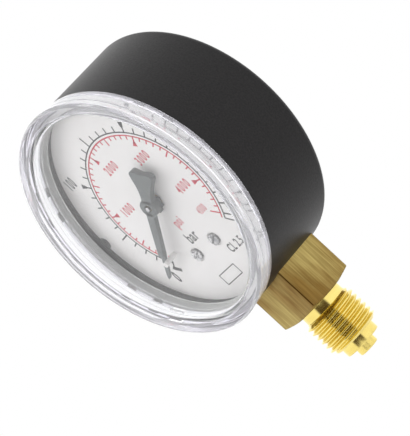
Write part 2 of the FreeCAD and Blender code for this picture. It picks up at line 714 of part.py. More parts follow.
def make_sector_gear():
    """Toothed sector with its web, hub and the tail arm for the link."""
    module = SIZE["gear_module"]
    pitch_radius = SECTOR_TEETH * module / 2
    root = pitch_radius - 1.4 * module
    step = 2 * math.pi / SECTOR_TEETH
    half_travel = math.radians(SIZE["pointer_travel"]) * PINION_TEETH / SECTOR_TEETH / 2
    last = half_travel + step / 2
    centres = [last - step * i for i in reversed(range(SECTOR_TEETH_CUT))]
    edges, start, stop = joined_teeth(SECTOR_TEETH, centres, root, pitch_radius + 0.7 * module)
    web_half = SIZE["web_half"]
    waist = [Vector(0, 2 * web_half, 0), Vector(0, -2 * web_half, 0)]
    edges += [Part.LineSegment(stop, waist[0]).toShape(),
              Part.LineSegment(waist[0], waist[1]).toShape(),
              Part.LineSegment(waist[1], start).toShape()]
    thick = Vector(0, 0, number("sector_front - sector_back"))
    web = Part.Face(Part.Wire(Part.__sortEdges__(edges))).extrude(thick)
    window = Part.makeCylinder(root - 1.6, thick.z, Vector(), Vector(0, 0, 1), 26)
    window.rotate(Vector(), Vector(0, 0, 1), -13)
    window = window.cut(Part.makeCylinder(5.2, thick.z))
    tail_end = polar(SIZE["tail_arm"], 180 + SIZE["tail_offset"])
    arm = Part.makeBox(SIZE["tail_arm"], 2 * web_half, thick.z, Vector(0, -web_half, 0))
    arm.rotate(Vector(), Vector(0, 0, 1), 180 + SIZE["tail_offset"])
    eye = Part.makeCylinder(SIZE["pin_eye"], thick.z, tail_end)
    blank = web.cut(window).fuse([Part.makeCylinder(SIZE["sector_hub"], thick.z), arm, eye])
    holes = [Part.makeCylinder(SIZE["sector_arbor_radius"], thick.z),
             Part.makeCylinder(SIZE["pin_radius"], thick.z, tail_end)]
    axis = sector_axis()
    place = at_face(axis.x, axis.y, SIZE["sector_back"], sector_rest_turn())
    return solid_feature("sector_gear", blank.cut(holes).removeSplitter(), place)


def make_sector_arbor():
    """Steel arbor of the sector, with a pivot in each plate."""
    axis = sector_axis()
    return steps("sector_arbor", axis.x, axis.y, [
        ("pivot_radius", "plate_back", "plate_back + plate_thick + 0.1"),
        ("sector_arbor_radius", "plate_back + plate_thick + 0.1", "plate_front - plate_thick - 0.1"),
        ("pivot_radius", "plate_front - plate_thick - 0.1", "plate_front")])


def link_pin(name, place):
    """A shouldered and riveted pin through a lug and the link behind it."""
    return steps(name, place.x, place.y, [
        ("pin_head", "link_back - 0.3", "link_back - 0.05"),
        ("pin_radius", "link_back - 0.05", "sector_front"),
        ("pin_head", "link_front + 0.05", "sector_back"),
        ("pin_head", "sector_front", "sector_front + 0.2")])


def make_link():
    """Flat link from the tube's end to the sector's tail."""
    start = tip_pin_place()
    span = tail_pin_place() - start
    place = at_face(start.x, start.y, SIZE["link_back"],
                    math.degrees(math.atan2(span.y, span.x)))
    thick = number("link_front - link_back")
    half = SIZE["link_half_width"]
    far = Vector(span.Length, 0, 0)
    bar = Part.makeBox(span.Length, 2 * half, thick, Vector(0, -half, 0))
    eyes = [Part.makeCylinder(SIZE["link_end"], thick, eye) for eye in (Vector(), far)]
    holes = [Part.makeCylinder(SIZE["link_hole"], thick),
             Part.makeCylinder(SIZE["link_open_hole"], thick, far)]
    return solid_feature("link", bar.fuse(eyes).cut(holes).removeSplitter(), place)


def plate_outline(sketch):
    draw_outline(sketch, [
        ("- plate_foot", "- plate_low"), ("plate_foot", "- plate_low"),
        ("plate_right", "plate_right_low"), ("plate_right", "plate_right_high"),
        ("plate_high_right", "plate_high"), ("plate_high_left", "plate_high"),
        ("- plate_left", "plate_left_high"), ("- plate_left", "plate_left_low")])


def pillar_places():
    """The four pillars, the two that carry the dial first."""
    return [("- dial_screw_x", "- dial_screw_y"), ("dial_screw_x", "- dial_screw_y"),
            ("pillar_left_x", "pillar_left_y"), ("pillar_right_x", "pillar_right_y")]


def pierce_for_sector(body, offset, depth):
    """The sector's bearing, on a sketch turned to the sector's axis."""
    bearing = new_sketch(body, offset=offset, turn="sector_turn")
    draw_circle(bearing, "pivot_hole", "sector_distance", "0")
    pocket(body, bearing, depth)


def make_front_plate():
    """Brass plate that bears both arbors behind the dial."""
    body = new_body("movement_front_plate", at_face())
    sheet_metal = new_sketch(body, offset="plate_front - plate_thick")
    plate_outline(sheet_metal)
    pad(body, sheet_metal, "plate_thick")
    holes = new_sketch(body, offset="plate_front")
    draw_circle(holes, "journal_hole")
    for x, y in pillar_places():
        draw_circle(holes, "small_hole", x, y)
    pocket(body, holes, "plate_thick + 1")
    pierce_for_sector(body, "plate_front", "plate_thick + 1")
    return body


def make_back_plate():
    """Brass plate whose tail is screwed to the socket, so that it carries the movement."""
    body = new_body("movement_back_plate", at_face())
    sheet_metal = new_sketch(body, offset="plate_back")
    plate_outline(sheet_metal)
    pad(body, sheet_metal, "plate_thick")
    tail = new_sketch(body, offset="plate_back")
    draw_box(tail, "- 2", "2", "- 27.8", "- 16")
    pad(body, tail, "plate_thick")
    holes = new_sketch(body, offset="plate_back + plate_thick")
    draw_circle(holes, "pivot_hole")
    draw_circle(holes, "carrier_screw_shank", "0", "- carrier_screw_upper")
    draw_circle(holes, "carrier_screw_shank", "0", "- carrier_screw_lower")
    pocket(body, holes, "plate_thick + 1")
    pierce_for_sector(body, "plate_back + plate_thick", "plate_thick + 1")
    return body


def make_pillars():
    """Four brass pillars, tapped at the front."""
    pillars = []
    for x, y in pillar_places():
        place = at_face(number(x), number(y), number("plate_back + plate_thick"))
        blank = cylinder("pillar_blank", "pillar_radius",
                         "plate_front - plate_back - 2*plate_thick", place)
        tap_place = at_face(number(x), number(y), SIZE["pinion_back"])
        tap = cylinder("pillar_tap", "small_shank", "plate_front - pinion_back", tap_place)
        pillars.append(cut("pillar", blank, tap))
    return group("movement_pillars", pillars)


def make_plate_screws():
    """Two screws that hold the front plate on the upper pillars."""
    return group("plate_screws", [
        slotted_screw("plate_screw", number(x), number(y), "plate_front", "small_head",
                      "small_head_height", "small_shank", "plate_front - pinion_back")
        for x, y in pillar_places()[2:]])


def make_dial_spacers():
    """Two turned spacers between the front plate and the dial."""
    spacers = []
    for x, y in pillar_places()[:2]:
        place = at_face(number(x), number(y), SIZE["plate_front"])
        blank = cylinder("spacer_blank", "pillar_radius", "dial_back - plate_front", place)
        hole = cylinder("spacer_hole", "small_hole", "dial_back - plate_front", place)
        spacers.append(cut("spacer", blank, hole))
    return group("dial_spacers", spacers)


def make_carrier_screws():
    """Two screws through the back plate's tail into the socket."""
    return group("carrier_screws", [
        slotted_screw("carrier_screw", 0, -number(y), "plate_back", "carrier_screw_head",
                      "carrier_screw_head_height", "carrier_screw_shank",
                      "plate_thick + 3", facing=-1)
        for y in ("carrier_screw_upper", "carrier_screw_lower")])


def make_case_screws():
    """Two screws through the case's back into the socket."""
    return group("case_screws", [
        slotted_screw("case_screw", side * SIZE["case_screw_x"], -SIZE["case_screw_y"],
                      "- case_depth_back + counterbore_depth", "case_screw_head",
                      "case_screw_head_height", "case_screw_shank",
                      "case_depth_back - counterbore_depth - block_half + 4.5", facing=-1)
        for side in (-1, 1)])


# ---- Hairspring ----

def spiral_edges(radius, growth):
    """A spiral of half circles: each one starts where the last ended, with its centre shifted."""
    edges = []
    start = Vector(radius, 0, 0)
    side = 1
    for i in range(2 * HAIRSPRING_TURNS):
        reach = radius + growth / 4 + i * growth / 2
        stop = Vector(start.x - side * 2 * reach, 0, 0)
        middle = Vector((start.x + stop.x) / 2, side * reach, 0)
        edges.append(Part.Arc(start, middle, stop).toShape())
        start = stop
        side = -side
    return edges, start


def hairspring_end():
    """The outer end of the spring's strip, on its middle line."""
    edges, end = spiral_edges(SIZE["spring_inner"], SIZE["spring_pitch"])
    return Vector(end.x + SIZE["spring_strip"] / 2, 0, 0)


def make_hairspring():
    """Flat spiral strip that takes up the play of the teeth."""
    strip = SIZE["spring_strip"]
    inner, inner_end = spiral_edges(SIZE["spring_inner"], SIZE["spring_pitch"])
    outer, outer_end = spiral_edges(SIZE["spring_inner"] + strip, SIZE["spring_pitch"])
    caps = [Part.LineSegment(Vector(SIZE["spring_inner"], 0, 0),
                             Vector(SIZE["spring_inner"] + strip, 0, 0)).toShape(),
            Part.LineSegment(inner_end, outer_end).toShape()]
    face = Part.Face(Part.Wire(Part.__sortEdges__(inner + outer + caps)))
    height = number("spring_front - spring_back")
    return solid_feature("hairspring", face.extrude(Vector(0, 0, height)),
                         at_face(z=SIZE["spring_back"], turn=180))


def make_hairspring_collet():
    """Brass collet that holds the spring's inner end on the arbor."""
    blank = cylinder("collet_blank", "collet_radius", "spring_front - spring_back + 0.8",
                     at_face(z=SIZE["spring_back"] - 0.4))
    hole = cylinder("collet_hole", "arbor_radius", "spring_front - spring_back + 0.8",
                    at_face(z=SIZE["spring_back"] - 0.4))
    return cut("hairspring_collet", blank, hole)


def make_hairspring_stud():
    """Brass stud under the front plate that holds the spring's outer end."""
    end = turned(180).multVec(hairspring_end())
    stud = at_face(end.x, end.y - SIZE["stud_radius"], SIZE["spring_back"] - 0.2)
    return cylinder("hairspring_stud", "stud_radius",
                    "plate_front - plate_thick - spring_back + 0.2", stud)


# ---- Pressure element and socket ----

def tube_section(body, inset):
    """A flattened section: straight sides with half-round ends, inset by a wall."""
    sketch = new_sketch(body, "XZ_Plane")
    half = SIZE["tube_flat"] - inset
    straight = SIZE["tube_tall"] - SIZE["tube_flat"]
    middle = SIZE["coil_radius"]
    low = SIZE["coil_start"] - straight
    high = SIZE["coil_start"] + straight
    sketch.addGeometry(Part.LineSegment(Vector(middle + half, low, 0),
                                        Vector(middle + half, high, 0)))
    sketch.addGeometry(Part.ArcOfCircle(Part.Circle(Vector(middle, high, 0), Vector(0, 0, 1), half),
                                        0, math.pi))
    sketch.addGeometry(Part.LineSegment(Vector(middle - half, high, 0),
                                        Vector(middle - half, low, 0)))
    sketch.addGeometry(Part.ArcOfCircle(Part.Circle(Vector(middle, low, 0), Vector(0, 0, 1), half),
                                        math.pi, 2 * math.pi))
    for edge in range(4):
        sketch.addConstraint(Sketcher.Constraint("Tangent", edge, 2, (edge + 1) % 4, 1))
    sketch.addConstraint(Sketcher.Constraint("Equal", 1, 3))
    pin_down(sketch, 1, 3, "coil_radius", "coil_start + tube_tall - tube_flat")
    pin_down(sketch, 3, 3, "coil_radius", "coil_start - tube_tall + tube_flat")
    radius = "tube_flat" if inset == 0 else "tube_flat - tube_wall"
    index = sketch.addConstraint(Sketcher.Constraint("Radius", 1, number(radius)))
    bind(sketch, f"Constraints[{index}]", radius)
    return sketch


def make_bourdon_tube():
    """Flattened tube, coiled clockwise towards the reader from the socket to its closed end."""
    body = new_body("bourdon_tube", at_face(turn=-90))
    helix(body, tube_section(body, 0), "PartDesign::AdditiveHelix")
    helix(body, tube_section(body, SIZE["tube_wall"]), "PartDesign::SubtractiveHelix")
    return body


def make_tube_end():
    """End piece brazed on the tube, with the lug for the link pin."""
    body = new_body("tube_end", at_face(turn=SIZE["end_turn"]))
    middle = "coil_start + coil_height"
    cap = new_sketch(body, offset=f"{middle} - tube_tall - 0.15")
    draw_box(cap, "coil_radius - tube_flat - 0.2", "coil_radius + tube_flat + 0.2",
             "- end_length", "0")
    pad(body, cap, "2*tube_tall + 0.3")
    lug = new_sketch(body, offset="sector_back")
    draw_box(lug, "pin_orbit - 0.8", "coil_radius - tube_flat", "- end_length + 0.5", "- 0.5")
    pad(body, lug, "sector_front - sector_back")
    eye = new_sketch(body, offset="sector_back", turn="pin_lead")
    draw_circle(eye, "pin_eye", "pin_orbit", "0")
    pad(body, eye, "sector_front - sector_back")
    hole = new_sketch(body, offset="sector_front", turn="pin_lead")
    draw_circle(hole, "pin_radius", "pin_orbit", "0")
    pocket(body, hole, "sector_front - sector_back")
    return body


def thread_corners():
    """The section of the threaded stretch, from its lower end to the neck."""
    corners = [("pilot_radius", "- thread_half"), ("lead_radius", "- thread_half")]
    middle = THREAD_CRESTS // 2
    for i in range(-middle, middle + 1):
        crest = f"{i}*thread_pitch"
        corners += [("thread_radius", f"{crest} - crest_half"),
                    ("thread_radius", f"{crest} + crest_half")]
        if i < middle:
            root = f"{i + 0.5}*thread_pitch"
            corners += [("thread_radius - thread_depth", f"{root} - root_half"),
                        ("thread_radius - thread_depth", f"{root} + root_half")]
    return corners + [("lead_radius", "thread_half"), ("neck_radius", "thread_half")]


def make_socket():
    """Square brass block with its turned neck, thread, pilot and centring spigot."""
    body = new_body("socket_blank", Placement())
    turned_part = new_sketch(body, "XZ_Plane")
    draw_outline(turned_part, [
        ("0", "spigot_end"), ("spigot_radius - spigot_bevel", "spigot_end"),
        ("spigot_radius", "spigot_end + spigot_bevel"), ("spigot_radius", "pilot_end"),
        ("pilot_radius", "pilot_end")] + thread_corners() + [
        ("neck_radius", "block_bottom"), ("0", "block_bottom")])
    revolve(body, turned_part)
    block = new_sketch(body, offset="block_bottom")
    draw_box(block, "- block_half", "block_half", "- block_half", "block_half")
    pad(body, block, "flat_top - block_bottom")
    shoulders = new_sketch(body, offset="flat_top")
    draw_box(shoulders, "- block_half + flat_step", "block_half - flat_step",
             "- block_half", "block_half")
    pad(body, shoulders, "block_top - flat_top")
    bevel = new_sketch(body, "XZ_Plane")
    draw_outline(bevel, [("block_half", "block_bottom"), ("block_half + 3", "block_bottom"),
                         ("block_half + 3", "block_bottom + block_bevel")])
    revolve(body, bevel, "PartDesign::Groove")
    ear = new_sketch(body, offset="block_top")
    draw_box(ear, "0", "ear_width", "ear_front", "ear_back")
    pad(body, ear, "ear_top - block_top")
    bore = new_sketch(body, offset="spigot_end")
    draw_circle(bore, "bore_radius")
    pocket(body, bore, "bore_top - spigot_end", backwards=True)
    return cut("socket", body, fuse("socket_drillings", socket_drillings()))


def socket_drillings():
    """Screw holes in the block's back, and the way from the bore to the tube."""
    back = SIZE["block_half"]
    drillings = []
    for side in (-1, 1):
        drillings.append(cylinder(
            "case_screw_tap", "case_screw_shank", "5",
            at_face(side * SIZE["case_screw_x"], -SIZE["case_screw_y"], -back)))
    for y in ("carrier_screw_upper", "carrier_screw_lower"):
        drillings.append(cylinder("carrier_screw_tap", "carrier_screw_shank", "3.3",
                                  at_face(0, -number(y), -back)))
    outlet = Vector(0, -SIZE["coil_start"], SIZE["dial_height"] - SIZE["coil_radius"])
    inside = outlet + Vector(2.6, 0, 0)
    drillings.append(cylinder("tube_passage", "passage_radius", "3",
                              Placement(outlet, Rotation(Vector(0, 0, 1), Vector(1, 0, 0)))))
    foot = Vector(0, 0, SIZE["bore_top"] - 5)
    way = inside - foot
    drillings.append(cylinder("slanted_passage", "passage_radius", f"{way.Length:.4f}",
                              Placement(foot, Rotation(Vector(0, 0, 1), way))))
    return drillings


# ---- The whole gauge ----

NODES = {
    "case": make_case(),
    "window": make_window(),
    "dial": make_dial(),
    "dial_screws": make_dial_screws(),
    "pointer": make_pointer(),
    "pointer_bush": make_pointer_bush(),
    "pinion_arbor": make_pinion_arbor(),
    "sector_gear": make_sector_gear(),
    "sector_arbor": make_sector_arbor(),
    "sector_link_pin": link_pin("sector_link_pin", tail_pin_place()),
    "link": make_link(),
    "tube_link_pin": link_pin("tube_link_pin", tip_pin_place()),
    "tube_end": make_tube_end(),
    "bourdon_tube": make_bourdon_tube(),
    "socket": make_socket(),
    "movement_front_plate": make_front_plate(),
    "movement_back_plate": make_back_plate(),
    "movement_pillars": make_pillars(),
    "plate_screws": make_plate_screws(),
    "dial_spacers": make_dial_spacers(),
    "carrier_screws": make_carrier_screws(),
    "case_screws": make_case_screws(),
    "hairspring": make_hairspring(),
    "hairspring_collet": make_hairspring_collet(),
    "hairspring_stud": make_hairspring_stud(),
}
doc.recompute()

for item in doc.Objects:
    if "Invalid" in item.State or "Error" in item.State:
        raise RuntimeError(f"{item.Name} is {item.State}")
for name, item in NODES.items():
    item.Label = name
    if item.Shape.isNull() or not item.Shape.isValid() or item.Shape.Volume <= 0:
        raise RuntimeError(f"{name} has no valid solid")

os.makedirs("parts", exist_ok=True)
for name, item in NODES.items():
    item.Shape.exportStep(f"parts/{name}.step")
    print(f"{name}: {len(item.Shape.Solids)} solid(s), {item.Shape.Volume:.2f} mm3")
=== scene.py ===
import bpy
import numpy as np
from mathutils import Matrix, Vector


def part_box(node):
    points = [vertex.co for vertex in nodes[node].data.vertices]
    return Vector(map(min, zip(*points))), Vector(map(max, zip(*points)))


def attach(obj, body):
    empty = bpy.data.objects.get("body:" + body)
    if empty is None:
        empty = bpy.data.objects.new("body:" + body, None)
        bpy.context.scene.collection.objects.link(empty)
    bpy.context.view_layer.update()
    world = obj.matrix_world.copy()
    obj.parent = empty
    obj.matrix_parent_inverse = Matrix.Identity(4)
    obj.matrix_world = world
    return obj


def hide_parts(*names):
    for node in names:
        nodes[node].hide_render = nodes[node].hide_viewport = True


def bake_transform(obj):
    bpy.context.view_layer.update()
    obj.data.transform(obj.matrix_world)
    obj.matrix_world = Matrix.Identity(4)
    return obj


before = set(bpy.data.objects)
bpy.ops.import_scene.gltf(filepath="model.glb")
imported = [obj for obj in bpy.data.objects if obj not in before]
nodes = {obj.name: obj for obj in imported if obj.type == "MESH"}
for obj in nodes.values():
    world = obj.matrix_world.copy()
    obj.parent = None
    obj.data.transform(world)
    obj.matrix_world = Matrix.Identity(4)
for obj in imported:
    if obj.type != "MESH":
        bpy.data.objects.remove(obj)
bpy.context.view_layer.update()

# ---- Camera ----
# A long lens at arm's length, level with the dial and to the right of it.
# The camera is rolled over, so the gauge lies on its side with its stem to the lower right.
dial_low, dial_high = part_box("dial")
dial_height = (dial_low[2] + dial_high[2]) / 2
azimuth, elevation, roll = np.radians((54.56, 1.85, -47.33))
camera_away, aimed_right, aimed_down = 0.6423, 0.00526, 0.00973
towards_camera = np.array([np.sin(azimuth) * np.cos(elevation),
                           -np.cos(azimuth) * np.cos(elevation), np.sin(elevation)])
level = np.array([np.cos(azimuth), np.sin(azimuth), 0])
above = np.cross(towards_camera, level)
right = level * np.cos(roll) + above * np.sin(roll)
up = above * np.cos(roll) - level * np.sin(roll)
place = (np.array([0, 0, dial_height]) + camera_away * towards_camera
         + aimed_right * right - aimed_down * up)
camera = bpy.data.objects.new("camera", bpy.data.cameras.new("camera"))
camera.data.lens = 244.8
camera.data.clip_start = 0.01
facing = Matrix(np.column_stack([right, up, towards_camera]).tolist()).to_4x4()
camera.matrix_world = Matrix.Translation(place) @ facing
bpy.context.scene.collection.objects.link(camera)
bpy.context.scene.camera = camera

# ---- Light tent ----
# A white tent all round the gauge, with the dark gap that the camera looks in through.
# It is plain white where the camera sees it directly.
bpy.context.scene.view_settings.view_transform = "Standard"
tent = bpy.data.worlds.new("light_tent")
tent.use_nodes = True
tree = tent.node_tree
tree.nodes.clear()
gap_azimuth = azimuth - np.radians(11)
gap = (np.sin(gap_azimuth), -np.cos(gap_azimuth), 0)
gap_edge, gap_dark = 0.80, 0.88  # cosines of the angle from the gap's middle
direction = tree.nodes.new("ShaderNodeTexCoord")
nearness = tree.nodes.new("ShaderNodeVectorMath")
nearness.operation = "DOT_PRODUCT"
nearness.inputs[1].default_value = gap
edge = tree.nodes.new("ShaderNodeMapRange")
edge.interpolation_type = "SMOOTHSTEP"
edge.inputs["From Min"].default_value = gap_edge
edge.inputs["From Max"].default_value = gap_dark
cloth = tree.nodes.new("ShaderNodeMix")
cloth.data_type = "RGBA"
cloth.inputs["A"].default_value = (1.0, 1.0, 1.0, 1)
cloth.inputs["B"].default_value = (0.075, 0.055, 0.035, 1)
lit = tree.nodes.new("ShaderNodeBackground")
lit.inputs["Strength"].default_value = 1.38
plain = tree.nodes.new("ShaderNodeBackground")
plain.inputs["Color"].default_value = (1, 1, 1, 1)
seen = tree.nodes.new("ShaderNodeLightPath")
choice = tree.nodes.new("ShaderNodeMixShader")
output = tree.nodes.new("ShaderNodeOutputWorld")
tree.links.new(direction.outputs["Generated"], nearness.inputs[0])
tree.links.new(nearness.outputs["Value"], edge.inputs["Value"])
tree.links.new(edge.outputs["Result"], cloth.inputs["Factor"])
tree.links.new(cloth.outputs["Result"], lit.inputs["Color"])
tree.links.new(seen.outputs["Is Camera Ray"], choice.inputs["Fac"])
tree.links.new(lit.outputs[0], choice.inputs[1])
tree.links.new(plain.outputs[0], choice.inputs[2])
tree.links.new(choice.outputs[0], output.inputs["Surface"])
bpy.context.scene.world = tent


def soft_box(name, height, spread, power, side):
    """A square lamp that faces the dial's middle, at a place measured from there in metres."""
    lamp = bpy.data.lights.new(name, "AREA")
    lamp.size = spread
    lamp.energy = power
    lamp_object = bpy.data.objects.new(name, lamp)
    lamp_object.visible_glossy = lamp_object.visible_transmission = False
    spot = np.array(side, float)
    away = spot / np.linalg.norm(spot)
    across = np.cross((0, 0, 1), away)
    across /= np.linalg.norm(across)
    turn = Matrix(np.column_stack([across, np.cross(away, across), away]).tolist()).to_4x4()
    lamp_object.matrix_world = Matrix.Translation(spot + (0, 0, height)) @ turn
    bpy.context.scene.collection.objects.link(lamp_object)


soft_box("lamp_left", dial_height, 0.30, 1.2, (-0.45, -0.42, 0.28))

# ---- Floor ----
# A pale matt sheet below the gauge, which closes the tent at the bottom.
floor_mesh = bpy.data.meshes.new("floor")
floor_half, floor_height = 0.28, -0.075
floor_corners = [(-floor_half, -floor_half, floor_height), (floor_half, -floor_half, floor_height),
                 (floor_half, floor_half, floor_height), (-floor_half, floor_half, floor_height)]
floor_mesh.from_pydata(floor_corners, [], [(0, 1, 2, 3)])
floor = bpy.data.objects.new("floor", floor_mesh)
floor_finish = bpy.data.materials.new("floor_paper")
floor_finish.use_nodes = True
paper = floor_finish.node_tree.nodes["Principled BSDF"]
paper.inputs["Base Color"].default_value = (0.86, 0.86, 0.86, 1)
paper.inputs["Roughness"].default_value = 0.9
floor_mesh.materials.append(floor_finish)
bpy.context.scene.collection.objects.link(floor)


# ---- Socket ----
# One piece of square brass bar, 14 mm across, turned down to the neck, thread, pilot and spigot.
# The bar keeps its drawn, dull skin, and the turned stretch is bright. The ear holds the tube.

def softened(corners, cut, steps=4):
    """A profile with its inner corners rounded off.

    Each corner gives way to a parabola that leaves the edge before it and joins the edge after it
    at the distance cut, one for all corners or one each, or at 0.45 of an edge that is short."""
    corners = np.array(corners, float)
    before, middle, after = corners[:-2], corners[1:-1], corners[2:]
    back, ahead = before - middle, after - middle
    back_length = np.linalg.norm(back, axis=1, keepdims=True)
    ahead_length = np.linalg.norm(ahead, axis=1, keepdims=True)
    cut = np.broadcast_to(np.asarray(cut, float), len(middle))[:, None]
    start = middle + back / back_length * np.minimum(cut, 0.45 * back_length)
    stop = middle + ahead / ahead_length * np.minimum(cut, 0.45 * ahead_length)
    t = np.linspace(0, 1, steps + 1)[None, :, None]
    bend = ((1 - t) ** 2 * start[:, None] + 2 * t * (1 - t) * middle[:, None]
            + t ** 2 * stop[:, None])
    return np.vstack([corners[:1], bend.reshape(-1, 2), corners[-1:]])


def shell(*patches):
    """Points and faces of one closed shell, from grids of points in millimetres.

    Each patch is (grid, slot). Every four neighbours on a grid make a face; points that coincide
    become one, so seams and poles close; the shell is turned round if its volume is negative."""
    points, quads, slots, count = [], [], [], 0
    for grid, slot in patches:
        rows, columns = grid.shape[:2]
        index = count + np.arange(rows * columns).reshape(rows, columns)
        quads.append(np.stack([index[:-1, :-1], index[1:, :-1], index[1:, 1:], index[:-1, 1:]],
                              axis=-1).reshape(-1, 4))
        slots.append(np.full(len(quads[-1]), slot))
        points.append(grid.reshape(-1, 3))
        count += rows * columns
    points, same = np.unique(np.round(np.vstack(points), 5), axis=0, return_inverse=True)
    quads, slots = same.reshape(-1)[np.vstack(quads)], np.concatenate(slots)
    twin = quads == np.roll(quads, -1, axis=1)
    whole, thin = twin.sum(axis=1) == 0, twin.sum(axis=1) == 1
    triangles = quads[thin][~twin[thin]].reshape(-1, 3)
    fans = np.vstack([quads[whole][:, [0, 1, 2]], quads[whole][:, [0, 2, 3]], triangles])
    a, b, c = points[fans[:, 0]], points[fans[:, 1]], points[fans[:, 2]]
    faces = quads[whole].tolist() + triangles.tolist()
    if np.einsum("ij,ij->", a, np.cross(b, c)) < 0:
        faces = [face[::-1] for face in faces]
    return points * 0.001, faces, np.concatenate([slots[whole], slots[thin]])


def make_piece(name, shells, finishes, body, stands_for=(), sharp=35):
    """A mesh object of one or more shells, shaded smooth up to the sharp angle, riding on a body.

    Each shell is (points in metres, faces, the finish number of each face). The piece replaces the
    CAD nodes in stands_for."""
    shell_points, shell_faces, shell_slots = zip(*shells)
    points = np.vstack(shell_points)
    starts = np.cumsum([0] + [len(part) for part in shell_points[:-1]])
    faces = [[corner + int(start) for corner in face]
             for start, part in zip(starts, shell_faces) for face in part]
    mesh = bpy.data.meshes.new(name)
    mesh.from_pydata(points.tolist(), [], faces)
    for finish in finishes:
        mesh.materials.append(finish)
    mesh.polygons.foreach_set("material_index", np.concatenate(shell_slots).astype(int))
    mesh.set_sharp_from_angle(angle=np.radians(sharp))
    mesh.update()
    piece = bpy.data.objects.new(name, mesh)
    bpy.context.scene.collection.objects.link(piece)
    if body:
        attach(piece, body)
    if stands_for:
        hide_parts(*stands_for)
    return piece


def grained(name, dark, light, rough, metal=0.0, grain=(1, 1, 1), scale=900.0, bump=0.0,
            spread=0.05, contrast=(0.35, 0.65)):
    """A finish whose colour, roughness and relief follow one noise, squeezed by grain in x, y, z.

    The noise between the two contrast values blends dark into light. The roughness goes from
    rough + spread to rough - spread."""
    finish = bpy.data.materials.new(name)
    finish.use_nodes = True
    tree = finish.node_tree
    shader = tree.nodes["Principled BSDF"]
    shader.inputs["Metallic"].default_value = metal
    where = tree.nodes.new("ShaderNodeTexCoord")
    stretch = tree.nodes.new("ShaderNodeMapping")
    stretch.inputs["Scale"].default_value = grain
    noise = tree.nodes.new("ShaderNodeTexNoise")
    noise.inputs["Scale"].default_value = scale
    noise.inputs["Detail"].default_value = 4
    ramp = tree.nodes.new("ShaderNodeValToRGB")
    ramp.color_ramp.elements[0].position = contrast[0]
    ramp.color_ramp.elements[0].color = (*dark, 1)
    ramp.color_ramp.elements[1].position = contrast[1]
    ramp.color_ramp.elements[1].color = (*light, 1)
    dull = tree.nodes.new("ShaderNodeMapRange")
    dull.inputs["To Min"].default_value = rough + spread
    dull.inputs["To Max"].default_value = rough - spread
    tree.links.new(where.outputs["Object"], stretch.inputs["Vector"])
    tree.links.new(stretch.outputs["Vector"], noise.inputs["Vector"])
    tree.links.new(noise.outputs["Fac"], ramp.inputs["Fac"])
    tree.links.new(ramp.outputs["Color"], shader.inputs["Base Color"])
    tree.links.new(noise.outputs["Fac"], dull.inputs["Value"])
    tree.links.new(dull.outputs["Result"], shader.inputs["Roughness"])
    if bump:
        relief = tree.nodes.new("ShaderNodeBump")
        relief.inputs["Strength"].default_value = bump
        relief.inputs["Distance"].default_value = 0.0001
        tree.links.new(noise.outputs["Fac"], relief.inputs["Height"])
        tree.links.new(relief.outputs["Normal"], shader.inputs["Normal"])
    return finish


def finish_node(name, finish):
    """Gives a CAD node its finish."""
    nodes[name].data.materials.clear()
    nodes[name].data.materials.append(finish)


def drawn_brass():
    """Dull drawn brass with long streaks, broad brown patches, and painted shade along its edges:
    dark lines that stand in for the edges' reflection.

    The nearer of |x| and |y| is a flat's half width only along the bar's four edges."""
    finish = grained("drawn_brass", (0.25, 0.180, 0.056), (0.47, 0.370, 0.135), 0.45, metal=1.0,
                     grain=(1, 1, 0.045), scale=2400, bump=0.10, spread=0.10,
                     contrast=(0.25, 0.78))
    tree = finish.node_tree
    shader = tree.nodes["Principled BSDF"]
    ramp = next(node for node in tree.nodes if node.type == "VALTORGB")
    where = next(node for node in tree.nodes if node.type == "TEX_COORD")
    stretch = tree.nodes.new("ShaderNodeMapping")
    stretch.inputs["Scale"].default_value = (1, 1, 0.25)
    patches = tree.nodes.new("ShaderNodeTexNoise")
    patches.inputs["Scale"].default_value = 170
    patches.inputs["Detail"].default_value = 5
    amount = tree.nodes.new("ShaderNodeMapRange")
    amount.inputs["From Min"].default_value = 0.44
    amount.inputs["From Max"].default_value = 0.64
    stain = tree.nodes.new("ShaderNodeMix")
    stain.data_type = "RGBA"
    stain.blend_type = "MULTIPLY"
    stain.inputs["B"].default_value = (0.55, 0.43, 0.32, 1)
    tree.links.new(where.outputs["Object"], stretch.inputs["Vector"])
    tree.links.new(stretch.outputs["Vector"], patches.inputs["Vector"])
    tree.links.new(patches.outputs["Fac"], amount.inputs["Value"])
    tree.links.new(amount.outputs["Result"], stain.inputs["Factor"])
    tree.links.new(ramp.outputs["Color"], stain.inputs["A"])
    apart = tree.nodes.new("ShaderNodeSeparateXYZ")
    across = tree.nodes.new("ShaderNodeMath")
    deep = tree.nodes.new("ShaderNodeMath")
    nearer = tree.nodes.new("ShaderNodeMath")
    across.operation = deep.operation = "ABSOLUTE"
    nearer.operation = "MINIMUM"
    # Painted shade: the colour is darkened along the bar's four edges, a painted dark line that
    # stands in for the edges' reflection.
    painted_edge_line_mask = tree.nodes.new("ShaderNodeMapRange")
    painted_edge_line_mask.inputs["From Min"].default_value = 0.00672
    painted_edge_line_mask.inputs["From Max"].default_value = 0.00688
    corner = tree.nodes.new("ShaderNodeMix")
    corner.data_type = "RGBA"
    corner.blend_type = "MULTIPLY"
    corner.inputs["B"].default_value = (0.30, 0.22, 0.16, 1)
    tree.links.new(where.outputs["Object"], apart.inputs["Vector"])
    tree.links.new(apart.outputs["X"], across.inputs[0])
    tree.links.new(apart.outputs["Y"], deep.inputs[0])
    tree.links.new(across.outputs["Value"], nearer.inputs[0])
    tree.links.new(deep.outputs["Value"], nearer.inputs[1])
    tree.links.new(nearer.outputs["Value"], painted_edge_line_mask.inputs["Value"])
    tree.links.new(painted_edge_line_mask.outputs["Result"], corner.inputs["Factor"])
    tree.links.new(stain.outputs["Result"], corner.inputs["A"])
    tree.links.new(corner.outputs["Result"], shader.inputs["Base Color"])
    return finish


